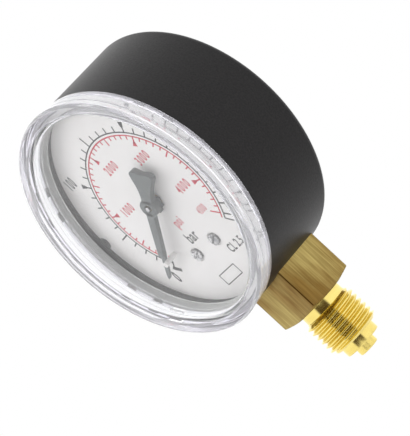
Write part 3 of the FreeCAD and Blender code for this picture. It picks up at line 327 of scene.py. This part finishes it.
thread_radius, thread_depth, pitch, thread_half = 6.5785, 0.856, 1.337, 4.5
block_half, block_bottom, block_top, bevel = 7.0, 6.6, 24.7, 0.8
seat_radius, neck_radius, pilot_radius, spigot_radius, bore_radius = 5.75, 5.5, 4.6, 2.5, 1.5
pilot_bottom, spigot_bottom, bore_top = -6.7, -8.6, 22.6
round_turn = np.linspace(0, 2 * np.pi, 217)
corner_turn = (np.radians(45 + 90 * np.arange(4))[:, None]
               + np.radians(np.linspace(-3.2, 3.2, 15))).reshape(-1)
turn = np.unique(np.round(np.concatenate([round_turn, corner_turn]), 9))
turn[-1] = 2 * np.pi

# The bar's outline: distance to the nearest flat, or to a corner arc of radius 0.35.
corner_round = 0.35
eighth = np.abs((turn + np.pi / 4) % (np.pi / 2) - np.pi / 4)
to_flat = block_half / np.cos(eighth)
arc_middle = (block_half - corner_round) * (np.cos(eighth) + np.sin(eighth))
under_root = corner_round ** 2 - 2 * (block_half - corner_round) ** 2 + arc_middle ** 2
to_arc = arc_middle + np.sqrt(np.maximum(under_root, 0))
bar = np.where((under_root > 0) & (to_arc < to_flat), to_arc, to_flat)


def round_bar(profile):
    """A profile of (radius, height) turned about the stem's axis."""
    radius, height = profile[:, :1], profile[:, 1:]
    return np.stack([radius * np.cos(turn), radius * np.sin(turn),
                     height + 0 * turn], axis=-1)


def square_bar(rows):
    """Rows of (plain radius, share of the bar's outline, height, share of the bevel).

    A point's radius is the plain one plus its share of the outline, and the bevel lifts it in
    proportion to how far it lies beyond the flats, over 3 mm."""
    plain, share, height, rise = (np.array(column)[:, None] for column in zip(*rows))
    radius = plain + share * bar
    lift = rise * bevel * np.maximum(radius - block_half, 0) / 3
    return np.stack([radius * np.cos(turn), radius * np.sin(turn), height + lift], axis=-1)


edge_round = 0.22
edge_steps = np.array([0, 0.25, 0.5, 0.75, 1.0])
edge_in = edge_round * (1 - edge_steps) ** 2
edge_up = edge_round * edge_steps ** 2
block = square_bar(
    [(0, 0, block_top, 0), (5.0, 0, block_top, 0)]
    + [(-inward, 1, block_top - upward, 0) for inward, upward in zip(edge_in, edge_up)]
    + [(0, 1, height, 0) for height in np.linspace(block_top - 1, block_bottom + 1.2, 12)]
    + [(-inward, 1, block_bottom + upward, 1)
       for inward, upward in zip(edge_in[::-1], edge_up[::-1])]
    + [(block_half, 0, block_bottom, 0), (6.2, 0, block_bottom, 0),
       (seat_radius, 0, block_bottom, 0)])
neck = round_bar(softened([(seat_radius, block_bottom), (neck_radius, block_bottom - 0.02),
                           (neck_radius, 5.2), (neck_radius, thread_half + 0.05)], 0.12))

# The thread: each row of points runs along the helix, at one distance from the crest, and rises
# by a pitch per turn, so a row ends where the row one pitch higher begins. The depth follows a
# softened profile of crest, flank and root, and a cone at each end leads it in.
half_groove = softened([(0, 0), (0.14, 0), (pitch / 2 - 0.09, thread_depth),
                        (pitch / 2, thread_depth)], 0.07, 3)
one_pitch = np.vstack([half_groove, (pitch, 0) + (-1, 1) * half_groove[-2:0:-1]])
thread_turns, turns_below = 9, 4
lead_radius, lead_slope = 5.55, 1.15
winds = np.arange(thread_turns)[:, None] - turns_below
thread_start = (winds * pitch - one_pitch[:, 0][::-1]).reshape(-1, 1)[::-1]
thread_fall = np.tile(one_pitch[:, 1], thread_turns)[:, None]
thread_z = np.clip(thread_start + pitch * turn / (2 * np.pi), -thread_half, thread_half)
thread_r = np.minimum(thread_radius - thread_fall + 0 * turn,
                      lead_radius + lead_slope * (thread_half - np.abs(thread_z)))
thread = np.stack([thread_r * np.cos(turn), thread_r * np.sin(turn), thread_z], axis=-1)
neck[-1] = thread[0]
foot = round_bar(softened([(pilot_radius, -thread_half - 0.02), (pilot_radius, pilot_bottom),
                           (spigot_radius, pilot_bottom), (spigot_radius, spigot_bottom),
                           (bore_radius, spigot_bottom), (bore_radius, bore_top),
                           (0, bore_top)], [0.25, 0.12, 0.35, 0.1, 0.1]))
foot = np.concatenate([thread[-1:], foot])

# The ear: a plain block that starts inside the bar; its end rows shrink to a point.
ear_loop = np.array([(0, 1.8), (5, 1.8), (5, 6.9), (0, 6.9), (0, 1.8)])
ear_rows = [(0.0, 24.2), (1.0, 24.2), (1.0, 28.9), (0.0, 28.9)]
ear_middle = ear_loop[:4].mean(axis=0)
ear = np.stack([np.column_stack([ear_middle + (ear_loop - ear_middle) * share,
                                 np.full(5, height)]) for share, height in ear_rows])

bright_brass = grained("turned_brass", (0.66, 0.52, 0.15), (0.80, 0.65, 0.21), 0.16, metal=1.0,
                       grain=(1, 1, 3), scale=160, spread=0.02, contrast=(0.25, 0.75))
make_piece("gauge_socket",
           [shell((block, 0), (neck, 1), (thread, 1), (foot, 1)), shell((ear, 0))],
           [drawn_brass(), bright_brass], "housing", ["socket"])


# ---- Bourdon tube ----
# Flattened bronze tube wound into a coil of even radius behind the dial; pressure unwinds it.
# Its lower end is soldered in the socket's ear, and its upper end carries the end piece.

def on_face(across, along, out):
    """Points at (across, along, out) of the dial: right, up and towards the reader, in mm."""
    across, along, out = np.broadcast_arrays(across, along, out)
    return np.stack([across, -out, along + 1000 * dial_height], axis=-1)


def oval(half_flat, half_tall, count):
    """The tube's section: two half circles held apart by straight sides.

    A circle's sine has tanh(6 sine) times the straight part's half length added to it, which
    is nearly a step from minus to plus that length."""
    angle = np.linspace(0, 2 * np.pi, count + 1)
    straight = half_tall - half_flat
    return (half_flat * np.cos(angle),
            half_flat * np.sin(angle) + straight * np.tanh(6 * np.sin(angle)))


coil_radius, coil_start, coil_pitch, coil_height = 20.5, -4.3, 5.4, 8.64
coil_turns = coil_height / coil_pitch
way = np.linspace(0, 1, 289)[:, None]
coil_turn = np.radians(-90) - 2 * np.pi * coil_turns * way
flat, tall = oval(1.2, 2.3, 36)
closed = (way > 0) & (way < 1)
radius = coil_radius + flat * closed
tube = on_face(radius * np.cos(coil_turn), radius * np.sin(coil_turn),
               coil_start + coil_height * way + tall * closed)
tube_bronze = grained("tube_bronze", (0.42, 0.24, 0.11), (0.62, 0.38, 0.19), 0.27, metal=1.0,
                      grain=(1, 1, 1), scale=260, bump=0.03, spread=0.08)
bourdon = make_piece("bourdon_spiral", [shell((tube, 0))], [tube_bronze], None,
                     ["bourdon_tube"])
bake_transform(bourdon)
end_brass = grained("end_brass", (0.55, 0.38, 0.15), (0.80, 0.60, 0.28), 0.30, metal=1.0,
                    scale=700, bump=0.05)
finish_node("tube_end", end_brass)

# ---- Movement ----
# Stamped brass plates on turned pillars, a toothed sector and pinion, and a hairspring.
# A link joins the sector's tail to the tube's end piece. All of it sits behind the dial.
stamped_brass = grained("stamped_brass", (0.60, 0.44, 0.19), (0.80, 0.62, 0.31), 0.28, metal=1.0,
                        grain=(1, 1, 0.08), scale=900, bump=0.05, spread=0.08)
for name in ("movement_front_plate", "movement_back_plate", "sector_gear", "link"):
    finish_node(name, stamped_brass)
turned_pillar = grained("pillar_brass", (0.66, 0.48, 0.20), (0.86, 0.66, 0.33), 0.20, metal=1.0,
                        grain=(1, 14, 1), scale=400, bump=0.05)
for name in ("movement_pillars", "dial_spacers", "pointer_bush", "hairspring_collet",
             "hairspring_stud"):
    finish_node(name, turned_pillar)
arbor_steel = grained("arbor_steel", (0.42, 0.42, 0.43), (0.64, 0.64, 0.65), 0.20, metal=1.0,
                      grain=(1, 14, 1), scale=500, bump=0.04)
for name in ("pinion_arbor", "sector_arbor", "sector_link_pin", "tube_link_pin"):
    finish_node(name, arbor_steel)
spring_bronze = grained("spring_bronze", (0.50, 0.30, 0.14), (0.68, 0.43, 0.22), 0.24, metal=1.0,
                        scale=1500, bump=0.02)
finish_node("hairspring", spring_bronze)
screw_steel = grained("screw_steel", (0.50, 0.50, 0.50), (0.74, 0.74, 0.74), 0.24, metal=1.0,
                      grain=(1, 6, 1), scale=800, bump=0.05)
for name in ("plate_screws", "carrier_screws", "case_screws"):
    finish_node(name, screw_steel)

# ---- Dial ----
# A thin moulded disc, off-white and faintly glossy, with the stop pin moulded on it.
# It rests on a step in the case, and two screws hold it to the movement's pillars.
dial_plastic = grained("dial_plastic", (0.84, 0.825, 0.81), (0.90, 0.89, 0.875), 0.42,
                       scale=120, bump=0.02, spread=0.04, contrast=(0.2, 0.8))
finish_node("dial", dial_plastic)
dull_steel = grained("dull_screw_steel", (0.20, 0.20, 0.21), (0.50, 0.50, 0.50), 0.28, metal=1.0,
                     scale=1300, bump=0.08, spread=0.10, contrast=(0.42, 0.58))
finish_node("dial_screws", dull_steel)

# ---- Printing on the dial ----
# Pad-printed scales: an outer one in bar in black, and an inner one in psi in red.
# The ink lies as a thin film on the dial's face.
ink_back, ink_front = 8.2, 8.225
capital_share = 0.72
zero_mark, line_end = -131.5, 135
scale_start, degrees_per_bar, degrees_per_psi = -135, 0.857, 0.0591

# A thin block's six faces. Its corners are numbered round the back, then round the front.
block_faces = np.array([(0, 1, 2, 3), (7, 6, 5, 4), (1, 0, 4, 5), (2, 1, 5, 6), (3, 2, 6, 7),
                        (0, 3, 7, 4)])


def marks(angles, inner, outer, inner_width, outer_width):
    """Radial marks as thin blocks, from the inner radius to the outer, with a width at each end.

    A corner's place is its radius along the mark's direction and half the width across it."""
    angles, inner, outer, inner_width, outer_width = np.broadcast_arrays(
        np.radians(angles), inner, outer, inner_width, outer_width)
    reach = np.stack([inner, outer, outer, inner], axis=-1)
    side = np.stack([-inner_width, -outer_width, outer_width, inner_width], axis=-1) / 2
    sin, cos = np.sin(angles)[:, None], np.cos(angles)[:, None]
    x, y = reach * sin + side * cos, reach * cos - side * sin
    x, y = np.concatenate([x, x], axis=1), np.concatenate([y, y], axis=1)
    out = np.repeat([ink_back, ink_front], 4)
    points = on_face(x, y, out).reshape(-1, 3)
    faces = (block_faces + 8 * np.arange(len(angles))[:, None, None]).reshape(-1, 4)
    return points * 0.001, faces.tolist(), np.zeros(len(faces))


def arc(radius, width, first, last, steps=220):
    """A printed line along a circle, between two angles in degrees clockwise from the top.

    Its section is a rectangle of the line's width and the ink's thickness."""
    angle = np.radians(np.linspace(first, last, steps))[:, None]
    loop = np.array([(-0.5, 0), (0.5, 0), (0.5, 1), (-0.5, 1), (-0.5, 0)])
    reach = radius + width * loop[:, 0]
    out = ink_back + (ink_front - ink_back) * loop[:, 1]
    body = on_face(reach * np.sin(angle), reach * np.cos(angle), out)
    middle = body.mean(axis=1, keepdims=True)
    start = np.broadcast_to(middle[:1], body[:1].shape)
    stop = np.broadcast_to(middle[-1:], body[-1:].shape)
    return shell((np.concatenate([start, body, stop]), 0))


def letters(text, height, x, y, narrow, bold=0.0, apart=1.12):
    """Generic lettering, upright on the dial and centred at (x, y), as a thin raised film.

    Its width is scaled by narrow, its outlines grow by bold, and its spacing is scaled by
    apart."""
    curve = bpy.data.curves.new("lettering", "FONT")
    curve.body = text
    curve.align_x, curve.align_y = "CENTER", "CENTER"
    curve.size = height / capital_share
    curve.extrude = (ink_front - ink_back) / 2
    curve.offset = bold
    curve.space_character = apart
    curve.resolution_u = 4
    writer = bpy.data.objects.new("lettering", curve)
    mesh = bpy.data.meshes.new_from_object(writer)
    points = np.empty(len(mesh.vertices) * 3)
    mesh.vertices.foreach_get("co", points)
    points = points.reshape(-1, 3)
    points = on_face(x + narrow * points[:, 0], y + points[:, 1],
                     points[:, 2] + (ink_back + ink_front) / 2)
    faces = [list(face.vertices) for face in mesh.polygons]
    bpy.data.objects.remove(writer)
    bpy.data.curves.remove(curve)
    bpy.data.meshes.remove(mesh)
    return points * 0.001, faces, np.zeros(len(faces))


def bar_angle(pressure):
    """Degrees clockwise from the top: the scale's start plus a fixed turn for each bar."""
    return scale_start + degrees_per_bar * np.asarray(pressure, float)


def psi_angle(pressure):
    """Degrees clockwise from the top: the scale's start plus a fixed turn for each psi."""
    return scale_start + degrees_per_psi * np.asarray(pressure, float)


def around(angle, reach):
    """The place on the dial at an angle clockwise from the top and a distance from the middle."""
    return reach * np.sin(np.radians(angle)), reach * np.cos(np.radians(angle))


def frame_lines(x, y, wide, high, line):
    """An empty printed frame: four closed strips round a rectangle centred at (x, y)."""
    strips = np.array([(x, y - high / 2, wide, line), (x, y + high / 2, wide, line),
                       (x - wide / 2, y, line, high), (x + wide / 2, y, line, high)])
    corner = np.array([(-1, -1), (1, -1), (1, 1), (-1, 1)]) / 2
    flat = strips[:, None, :2] + corner * strips[:, None, 2:]
    points = on_face(np.concatenate([flat[..., 0], flat[..., 0]], axis=1),
                     np.concatenate([flat[..., 1], flat[..., 1]], axis=1),
                     np.repeat([ink_back, ink_front], 4)).reshape(-1, 3)
    faces = (block_faces[None, :, ::-1] + 8 * np.arange(4)[:, None, None]).reshape(-1, 4)
    return points * 0.001, faces.tolist(), np.zeros(len(faces))


bar_line, psi_line = 19.04, 18.2
tens = np.arange(10, 311, 10)
tens = tens[tens % 50 != 0]
fifties = np.array([50, 150, 250])
hundreds = np.array([100, 200, 300])
black = [
    arc(bar_line, 0.34, zero_mark, line_end),
    marks(bar_angle(tens), bar_line, bar_line + 1.6, 0.34, 0.34),
    marks(bar_angle(fifties), bar_line, bar_line + 3.0, 0.36, 0.36),
    marks(bar_angle(hundreds), bar_line, bar_line + 2.0, 0.36, 0.36),
    marks(bar_angle(hundreds), bar_line + 1.4, bar_line + 2.9, 0.65, 1.3),
    marks(bar_angle([310, 315]), bar_line, bar_line + 2.9, 0.36, 0.36),
    marks([zero_mark], bar_line - 0.5, bar_line + 1.2, 0.38, 0.38),
    marks([zero_mark], bar_line + 1.2, bar_line + 2.2, 0.6, 1.3),
    arc(20.7, 0.9, zero_mark - 6, zero_mark, 12),
    letters("0", 3.2, *around(zero_mark, 23.7), 0.55, 0.13),
    letters("100", 3.1, -19.5, 16.5, 0.46, 0.07, 1.35),
    letters("200", 3.1, *around(37, 24.6), 0.46, 0.07, 1.3),
    letters("300", 3.1, *around(121, 24.4), 0.46, 0.07, 1.3),
    letters("315", 2.3, *around(137, 23.6), 0.50, 0.05, 1.2),
    letters("bar", 3.1, -0.9, -11.3, 0.66, 0.05),
    letters("CL 2.5", 2.3, 8.75, -19.2, 0.66, 0.06),
    frame_lines(-1.4, -23.4, 7.4, 2.9, 0.24),
]
black_ink = grained("black_ink", (0.006, 0.006, 0.008), (0.016, 0.016, 0.019), 0.5,
                    scale=2500, bump=0.02)
black_ink.node_tree.nodes["Principled BSDF"].inputs["Specular IOR Level"].default_value = 0.2
make_piece("dial_print_bar", black, [black_ink], "housing")

half_thousands = np.arange(500, 4001, 500)
small_psi = np.arange(100, 4500, 100)
small_psi = small_psi[small_psi % 500 != 0]
thousands = np.arange(1000, 4001, 1000)
red = [
    arc(psi_line, 0.34, zero_mark, line_end),
    marks(psi_angle(small_psi), psi_line - 1.1, psi_line, 0.34, 0.34),
    marks(psi_angle(half_thousands), psi_line - 2.0, psi_line, 0.36, 0.36),
    marks(psi_angle(thousands), psi_line - 2.7, psi_line - 1.4, 1.3, 0.5),
    marks(psi_angle([4500]), psi_line - 2.8, psi_line, 0.36, 0.36),
    letters("1000", 2.4, -10.8, 3.0, 0.60, 0.06, 1.35),
    letters("2000", 2.4, -2.7, 12.1, 0.60, 0.06, 1.35),
    letters("3000", 2.4, 8.8, 8.6, 0.60, 0.06, 1.35),
    letters("4000", 2.4, 11.4, -2.1, 0.60, 0.06, 1.35),
    letters("4500", 2.0, 9.8, -8.5, 0.46, 0.03, 1.35),
    letters("psi", 2.6, -0.3, -6.8, 0.70, 0.03),
]
red_ink = grained("red_ink", (0.52, 0.010, 0.040), (0.64, 0.022, 0.06), 0.5,
                  scale=2500, bump=0.02)
red_ink.node_tree.nodes["Principled BSDF"].inputs["Specular IOR Level"].default_value = 0.2
make_piece("dial_print_psi", red, [red_ink], "housing")

# ---- Pointer ----
# Moulded in grey plastic: a thick arm with a thin blade at its back, a flared counterweight,
# and a lobed boss behind the hub. It is pressed onto the pinion's arbor.
pointer_turn = np.radians(-zero_mark)
pointer_front, blade_front, arm_back, tail_back, boss_back = 11.6, 10.9, 10.3, 9.7, 8.5
arm_start, arm_end, blade_narrows, blade_tip, tail_end = 1.35, 14.3, 21.1, 21.7, 10.05
hole_radius, hub_radius, boss_radius = 1.12, 2.3, 2.2
seam_radius, eye_radius, bush_front = 1.6, 0.9, 11.0


def with_pointer(grid):
    """A grid in the pointer's own frame, with its arm along y, turned to the pointer's stop."""
    x, y, out = grid[..., 0], grid[..., 1], grid[..., 2]
    return on_face(x * np.cos(pointer_turn) - y * np.sin(pointer_turn),
                   x * np.sin(pointer_turn) + y * np.cos(pointer_turn), out)


def bar_grid(along, half_width, back, front, edge, dip=0.0):
    """Stations along y, each a closed loop: up one side, over the front, down the other side.

    The front edges are rounded by a parabola of the width edge. The dip moves the loop's middle
    towards +y by a squared cosine of the distance across."""
    along, half_width = np.asarray(along, float)[:, None], np.asarray(half_width, float)[:, None]
    dip_reach = 2.3
    t = np.linspace(0, 1, 6)
    inward = np.concatenate([[0, 0], t ** 2 * edge])
    drop = np.concatenate([[front - back, 1], (1 - t) ** 2 * edge])
    flank = np.maximum(half_width - inward, 0)
    rise = np.maximum(front - drop, back)
    middle = 0 * half_width
    x = np.hstack([-flank, middle, flank[:, ::-1], middle, -flank[:, :1]])
    out = np.concatenate([rise, [front], rise[::-1], [back], rise[:1]]) + middle
    y = along + dip * np.cos(np.clip(x / dip_reach, -1, 1) * np.pi / 2) ** 2
    grid = np.stack([x, y, out], axis=-1)
    centre = np.broadcast_to(grid.mean(axis=1, keepdims=True), grid.shape)
    return np.concatenate([centre[:1], grid, centre[-1:]])


def ring_grid(profile, swell=0.0, lobes=0, count=97):
    """A closed profile of (radius, out) turned about the pointer's axis.

    The outer wall swells by the cosine of the angle times the lobes, cut off below -0.2."""
    angle = np.linspace(0, 2 * np.pi, count)
    outer_wall = profile[:, :1] > 1.5
    radius = profile[:, :1] + swell * np.clip(np.cos(lobes * angle), -0.2, 1) * outer_wall
    return np.stack([radius * np.cos(angle), radius * np.sin(angle),
                     profile[:, 1:] + 0 * angle], axis=-1)


arm_y = np.concatenate([np.linspace(arm_start, 14.0, 14), [14.15, 14.25, arm_end]])
arm_half = np.interp(arm_y, [0, arm_end], [1.12, 0.78])
arm_half[-3:] -= [0.03, 0.09, 0.2]
arm = bar_grid(arm_y, arm_half, arm_back, pointer_front, 0.16)
blade_y = np.concatenate([[13.0, arm_end], np.linspace(15, 21.0, 7), [21.35, 21.6, blade_tip]])
blade_half = np.interp(blade_y, [13, arm_end, blade_narrows, blade_tip], [0.66, 0.70, 0.45, 0.10])
blade = bar_grid(blade_y, blade_half, arm_back, blade_front, 0.07)
tail_outline = np.array([
    (arm_start, 1.4), (3.2, 1.4), (4.6, 1.6), (6.2, 2.05), (7.4, 2.55), (8.6, 2.98), (8.95, 3.05),
    (9.25, 3.06), (9.5, 3.0), (9.7, 2.86), (9.85, 2.66), (9.96, 2.4), (10.03, 2.05),
    (tail_end, 1.7)])
tail_way = np.concatenate([[arm_start, 2.0, 2.6], np.linspace(3.2, 8.6, 12), tail_outline[6:, 0]])
tail_half = np.interp(tail_way, tail_outline[:, 0], tail_outline[:, 1])
tail_dip = 0.45 * np.clip((tail_way - 7.6) / 2.0, 0, 1)[:, None] ** 2
tail = bar_grid(-tail_way, tail_half, tail_back, pointer_front, 0.16, tail_dip)
hub_profile = softened([(seam_radius, tail_back), (hub_radius, tail_back),
                        (hub_radius, pointer_front), (eye_radius, pointer_front),
                        (eye_radius, bush_front), (hole_radius, bush_front),
                        (hole_radius, tail_back), (seam_radius, tail_back)],
                       [0.08, 0.16, 0.14, 0.02, 0.02, 0.05])
boss_front = tail_back + 0.05
boss_profile = softened([(seam_radius, boss_front), (boss_radius, boss_front),
                         (boss_radius, boss_back), (hole_radius, boss_back),
                         (hole_radius, boss_front), (seam_radius, boss_front)],
                        [0.02, 0.2, 0.05, 0.02])
pointer_plastic = grained("pointer_plastic", (0.085, 0.098, 0.100), (0.122, 0.138, 0.138), 0.44,
                          scale=700, bump=0.05, spread=0.05)
make_piece("gauge_pointer",
           [shell((with_pointer(part), 0)) for part in (
               arm, blade, tail, ring_grid(hub_profile),
               ring_grid(boss_profile, swell=0.45, lobes=8, count=193))],
           [pointer_plastic], "pointer_shaft", ["pointer"])

# ---- Case ----
# A round cup moulded in black plastic, matt outside, with the stem coming out at the bottom.
# Two screws through its back hold the socket.
case_plastic = grained("case_plastic", (0.004, 0.0035, 0.004), (0.010, 0.009, 0.0095), 0.42,
                       scale=2600, bump=0.22, spread=0.06)
case_plastic.node_tree.nodes["Principled BSDF"].inputs["Specular IOR Level"].default_value = 0.20
finish_node("case", case_plastic)

# ---- Window ----
# A clear acrylic cap: flat pane, a thick rim over the case's edge, and a skirt inside it.
# It snaps over lugs on the case, and a notch in the rim takes a screwdriver to prise it off.
notch_middle, notch_half, notch_top = np.radians(225), np.radians(3.83), 13.3
notch_sides = notch_middle + np.radians([-3.86, -3.80, 3.80, 3.86])
window_turn = np.unique(np.round(np.concatenate([np.linspace(0, 2 * np.pi, 241), notch_sides]), 9))
window_turn[-1] = 2 * np.pi
rim_foot, rim_shoulder = (30.5, 11.9), (31.0, 16.8)
window_steps = np.array([  # radius, distance out, rounding
    (0, 15.1, 0), (27.7, 15.1, 0.35), (27.7, 13.7, 0.04), (27.8, 13.6, 0.04),
    (27.8, 12.1, 0.04), (27.9, 12.0, 0.04), (27.9, 10.2, 0.12), (28.9, 10.2, 0.12),
    (28.9, 11.9, 0.10), (29.25, 11.9, 0.08), (29.25, 12.9, 0.08), (30.05, 12.9, 0.08),
    (30.05, 11.9, 0.08), (*rim_foot, 0.10), (30.64, 13.35, 0.04), (30.56, 13.45, 0.04),
    (30.68, 13.6, 0.04), (30.85, 15.3, 0.04), (30.77, 15.4, 0.04), (30.88, 15.55, 0.04),
    (*rim_shoulder, 0.25), (30.4, 17.4, 0.25), (28.6, 17.4, 0.12), (28.2, 17.0, 0.12),
    (0, 17.0, 0)])
window_profile = softened(window_steps[:, :2], window_steps[1:-1, 2])
window_r = window_profile[:, :1] + 0 * window_turn
window_out = window_profile[:, 1:] + 0 * window_turn
in_notch = (np.abs(window_turn - notch_middle) < notch_half) & (
    window_profile[:, :1] > 29.93) & (window_out < notch_top)
notch_r = np.interp(notch_top, [rim_foot[1], rim_shoulder[1]], [rim_foot[0], rim_shoulder[0]])
window_out = np.where(in_notch, notch_top, window_out)
window_r = np.where(in_notch & (window_r >= 30.3), notch_r, window_r)
window = on_face(window_r * np.cos(window_turn), window_r * np.sin(window_turn), window_out)


def acrylic(name, clearness, darker, lighter, least_rough, most_rough):
    """Clear acrylic that lets light through to what is behind it, with a faint uneven tint."""
    finish = bpy.data.materials.new(name)
    finish.use_nodes = True
    tree = finish.node_tree
    glass = tree.nodes["Principled BSDF"]
    glass.inputs["Transmission Weight"].default_value = clearness
    glass.inputs["IOR"].default_value = 1.49
    where = tree.nodes.new("ShaderNodeTexCoord")
    haze = tree.nodes.new("ShaderNodeTexNoise")
    haze.inputs["Scale"].default_value = 60
    tint = tree.nodes.new("ShaderNodeValToRGB")
    tint.color_ramp.elements[0].color = (*darker, 1)
    tint.color_ramp.elements[1].color = (*lighter, 1)
    polish = tree.nodes.new("ShaderNodeMapRange")
    polish.inputs["To Min"].default_value = least_rough
    polish.inputs["To Max"].default_value = most_rough
    shadow = tree.nodes.new("ShaderNodeLightPath")
    clear = tree.nodes.new("ShaderNodeBsdfTransparent")
    mix = tree.nodes.new("ShaderNodeMixShader")
    tree.links.new(where.outputs["Object"], haze.inputs["Vector"])
    tree.links.new(haze.outputs["Fac"], tint.inputs["Fac"])
    tree.links.new(tint.outputs["Color"], glass.inputs["Base Color"])
    tree.links.new(haze.outputs["Fac"], polish.inputs["Value"])
    tree.links.new(polish.outputs["Result"], glass.inputs["Roughness"])
    tree.links.new(shadow.outputs["Is Shadow Ray"], mix.inputs["Fac"])
    tree.links.new(glass.outputs["BSDF"], mix.inputs[1])
    tree.links.new(clear.outputs["BSDF"], mix.inputs[2])
    tree.links.new(mix.outputs["Shader"], tree.nodes["Material Output"].inputs["Surface"])
    return finish


pane_finish = acrylic("clear_pane", 1.0, (0.975, 0.970, 0.985), (0.990, 0.990, 0.995), 0, 0.02)
rim_finish = acrylic("moulded_rim", 0.84, (0.88, 0.87, 0.94), (0.94, 0.93, 0.975), 0.03, 0.07)
skirt_finish = acrylic("matt_skirt", 0.80, (0.78, 0.81, 0.79), (0.88, 0.90, 0.88), 0.08, 0.16)

# The finish changes at the skirt's inner wall, at the rim's ledge and at the rim's inner edge.
skirt_starts = int(np.argmax(window_profile[:, 0] > 27.6))
rim_starts = int(np.argmax(window_profile[:, 0] > 28.95))
rim_ends = len(window_profile) - int(np.argmax(window_profile[::-1, 0] > 28.3))
make_piece("gauge_window", [shell((window[:skirt_starts + 1], 0),
                                  (window[skirt_starts:rim_starts + 1], 2),
                                  (window[rim_starts:rim_ends + 1], 1),
                                  (window[rim_ends:], 0))],
           [pane_finish, rim_finish, skirt_finish], "housing", ["window"],
           sharp=28)
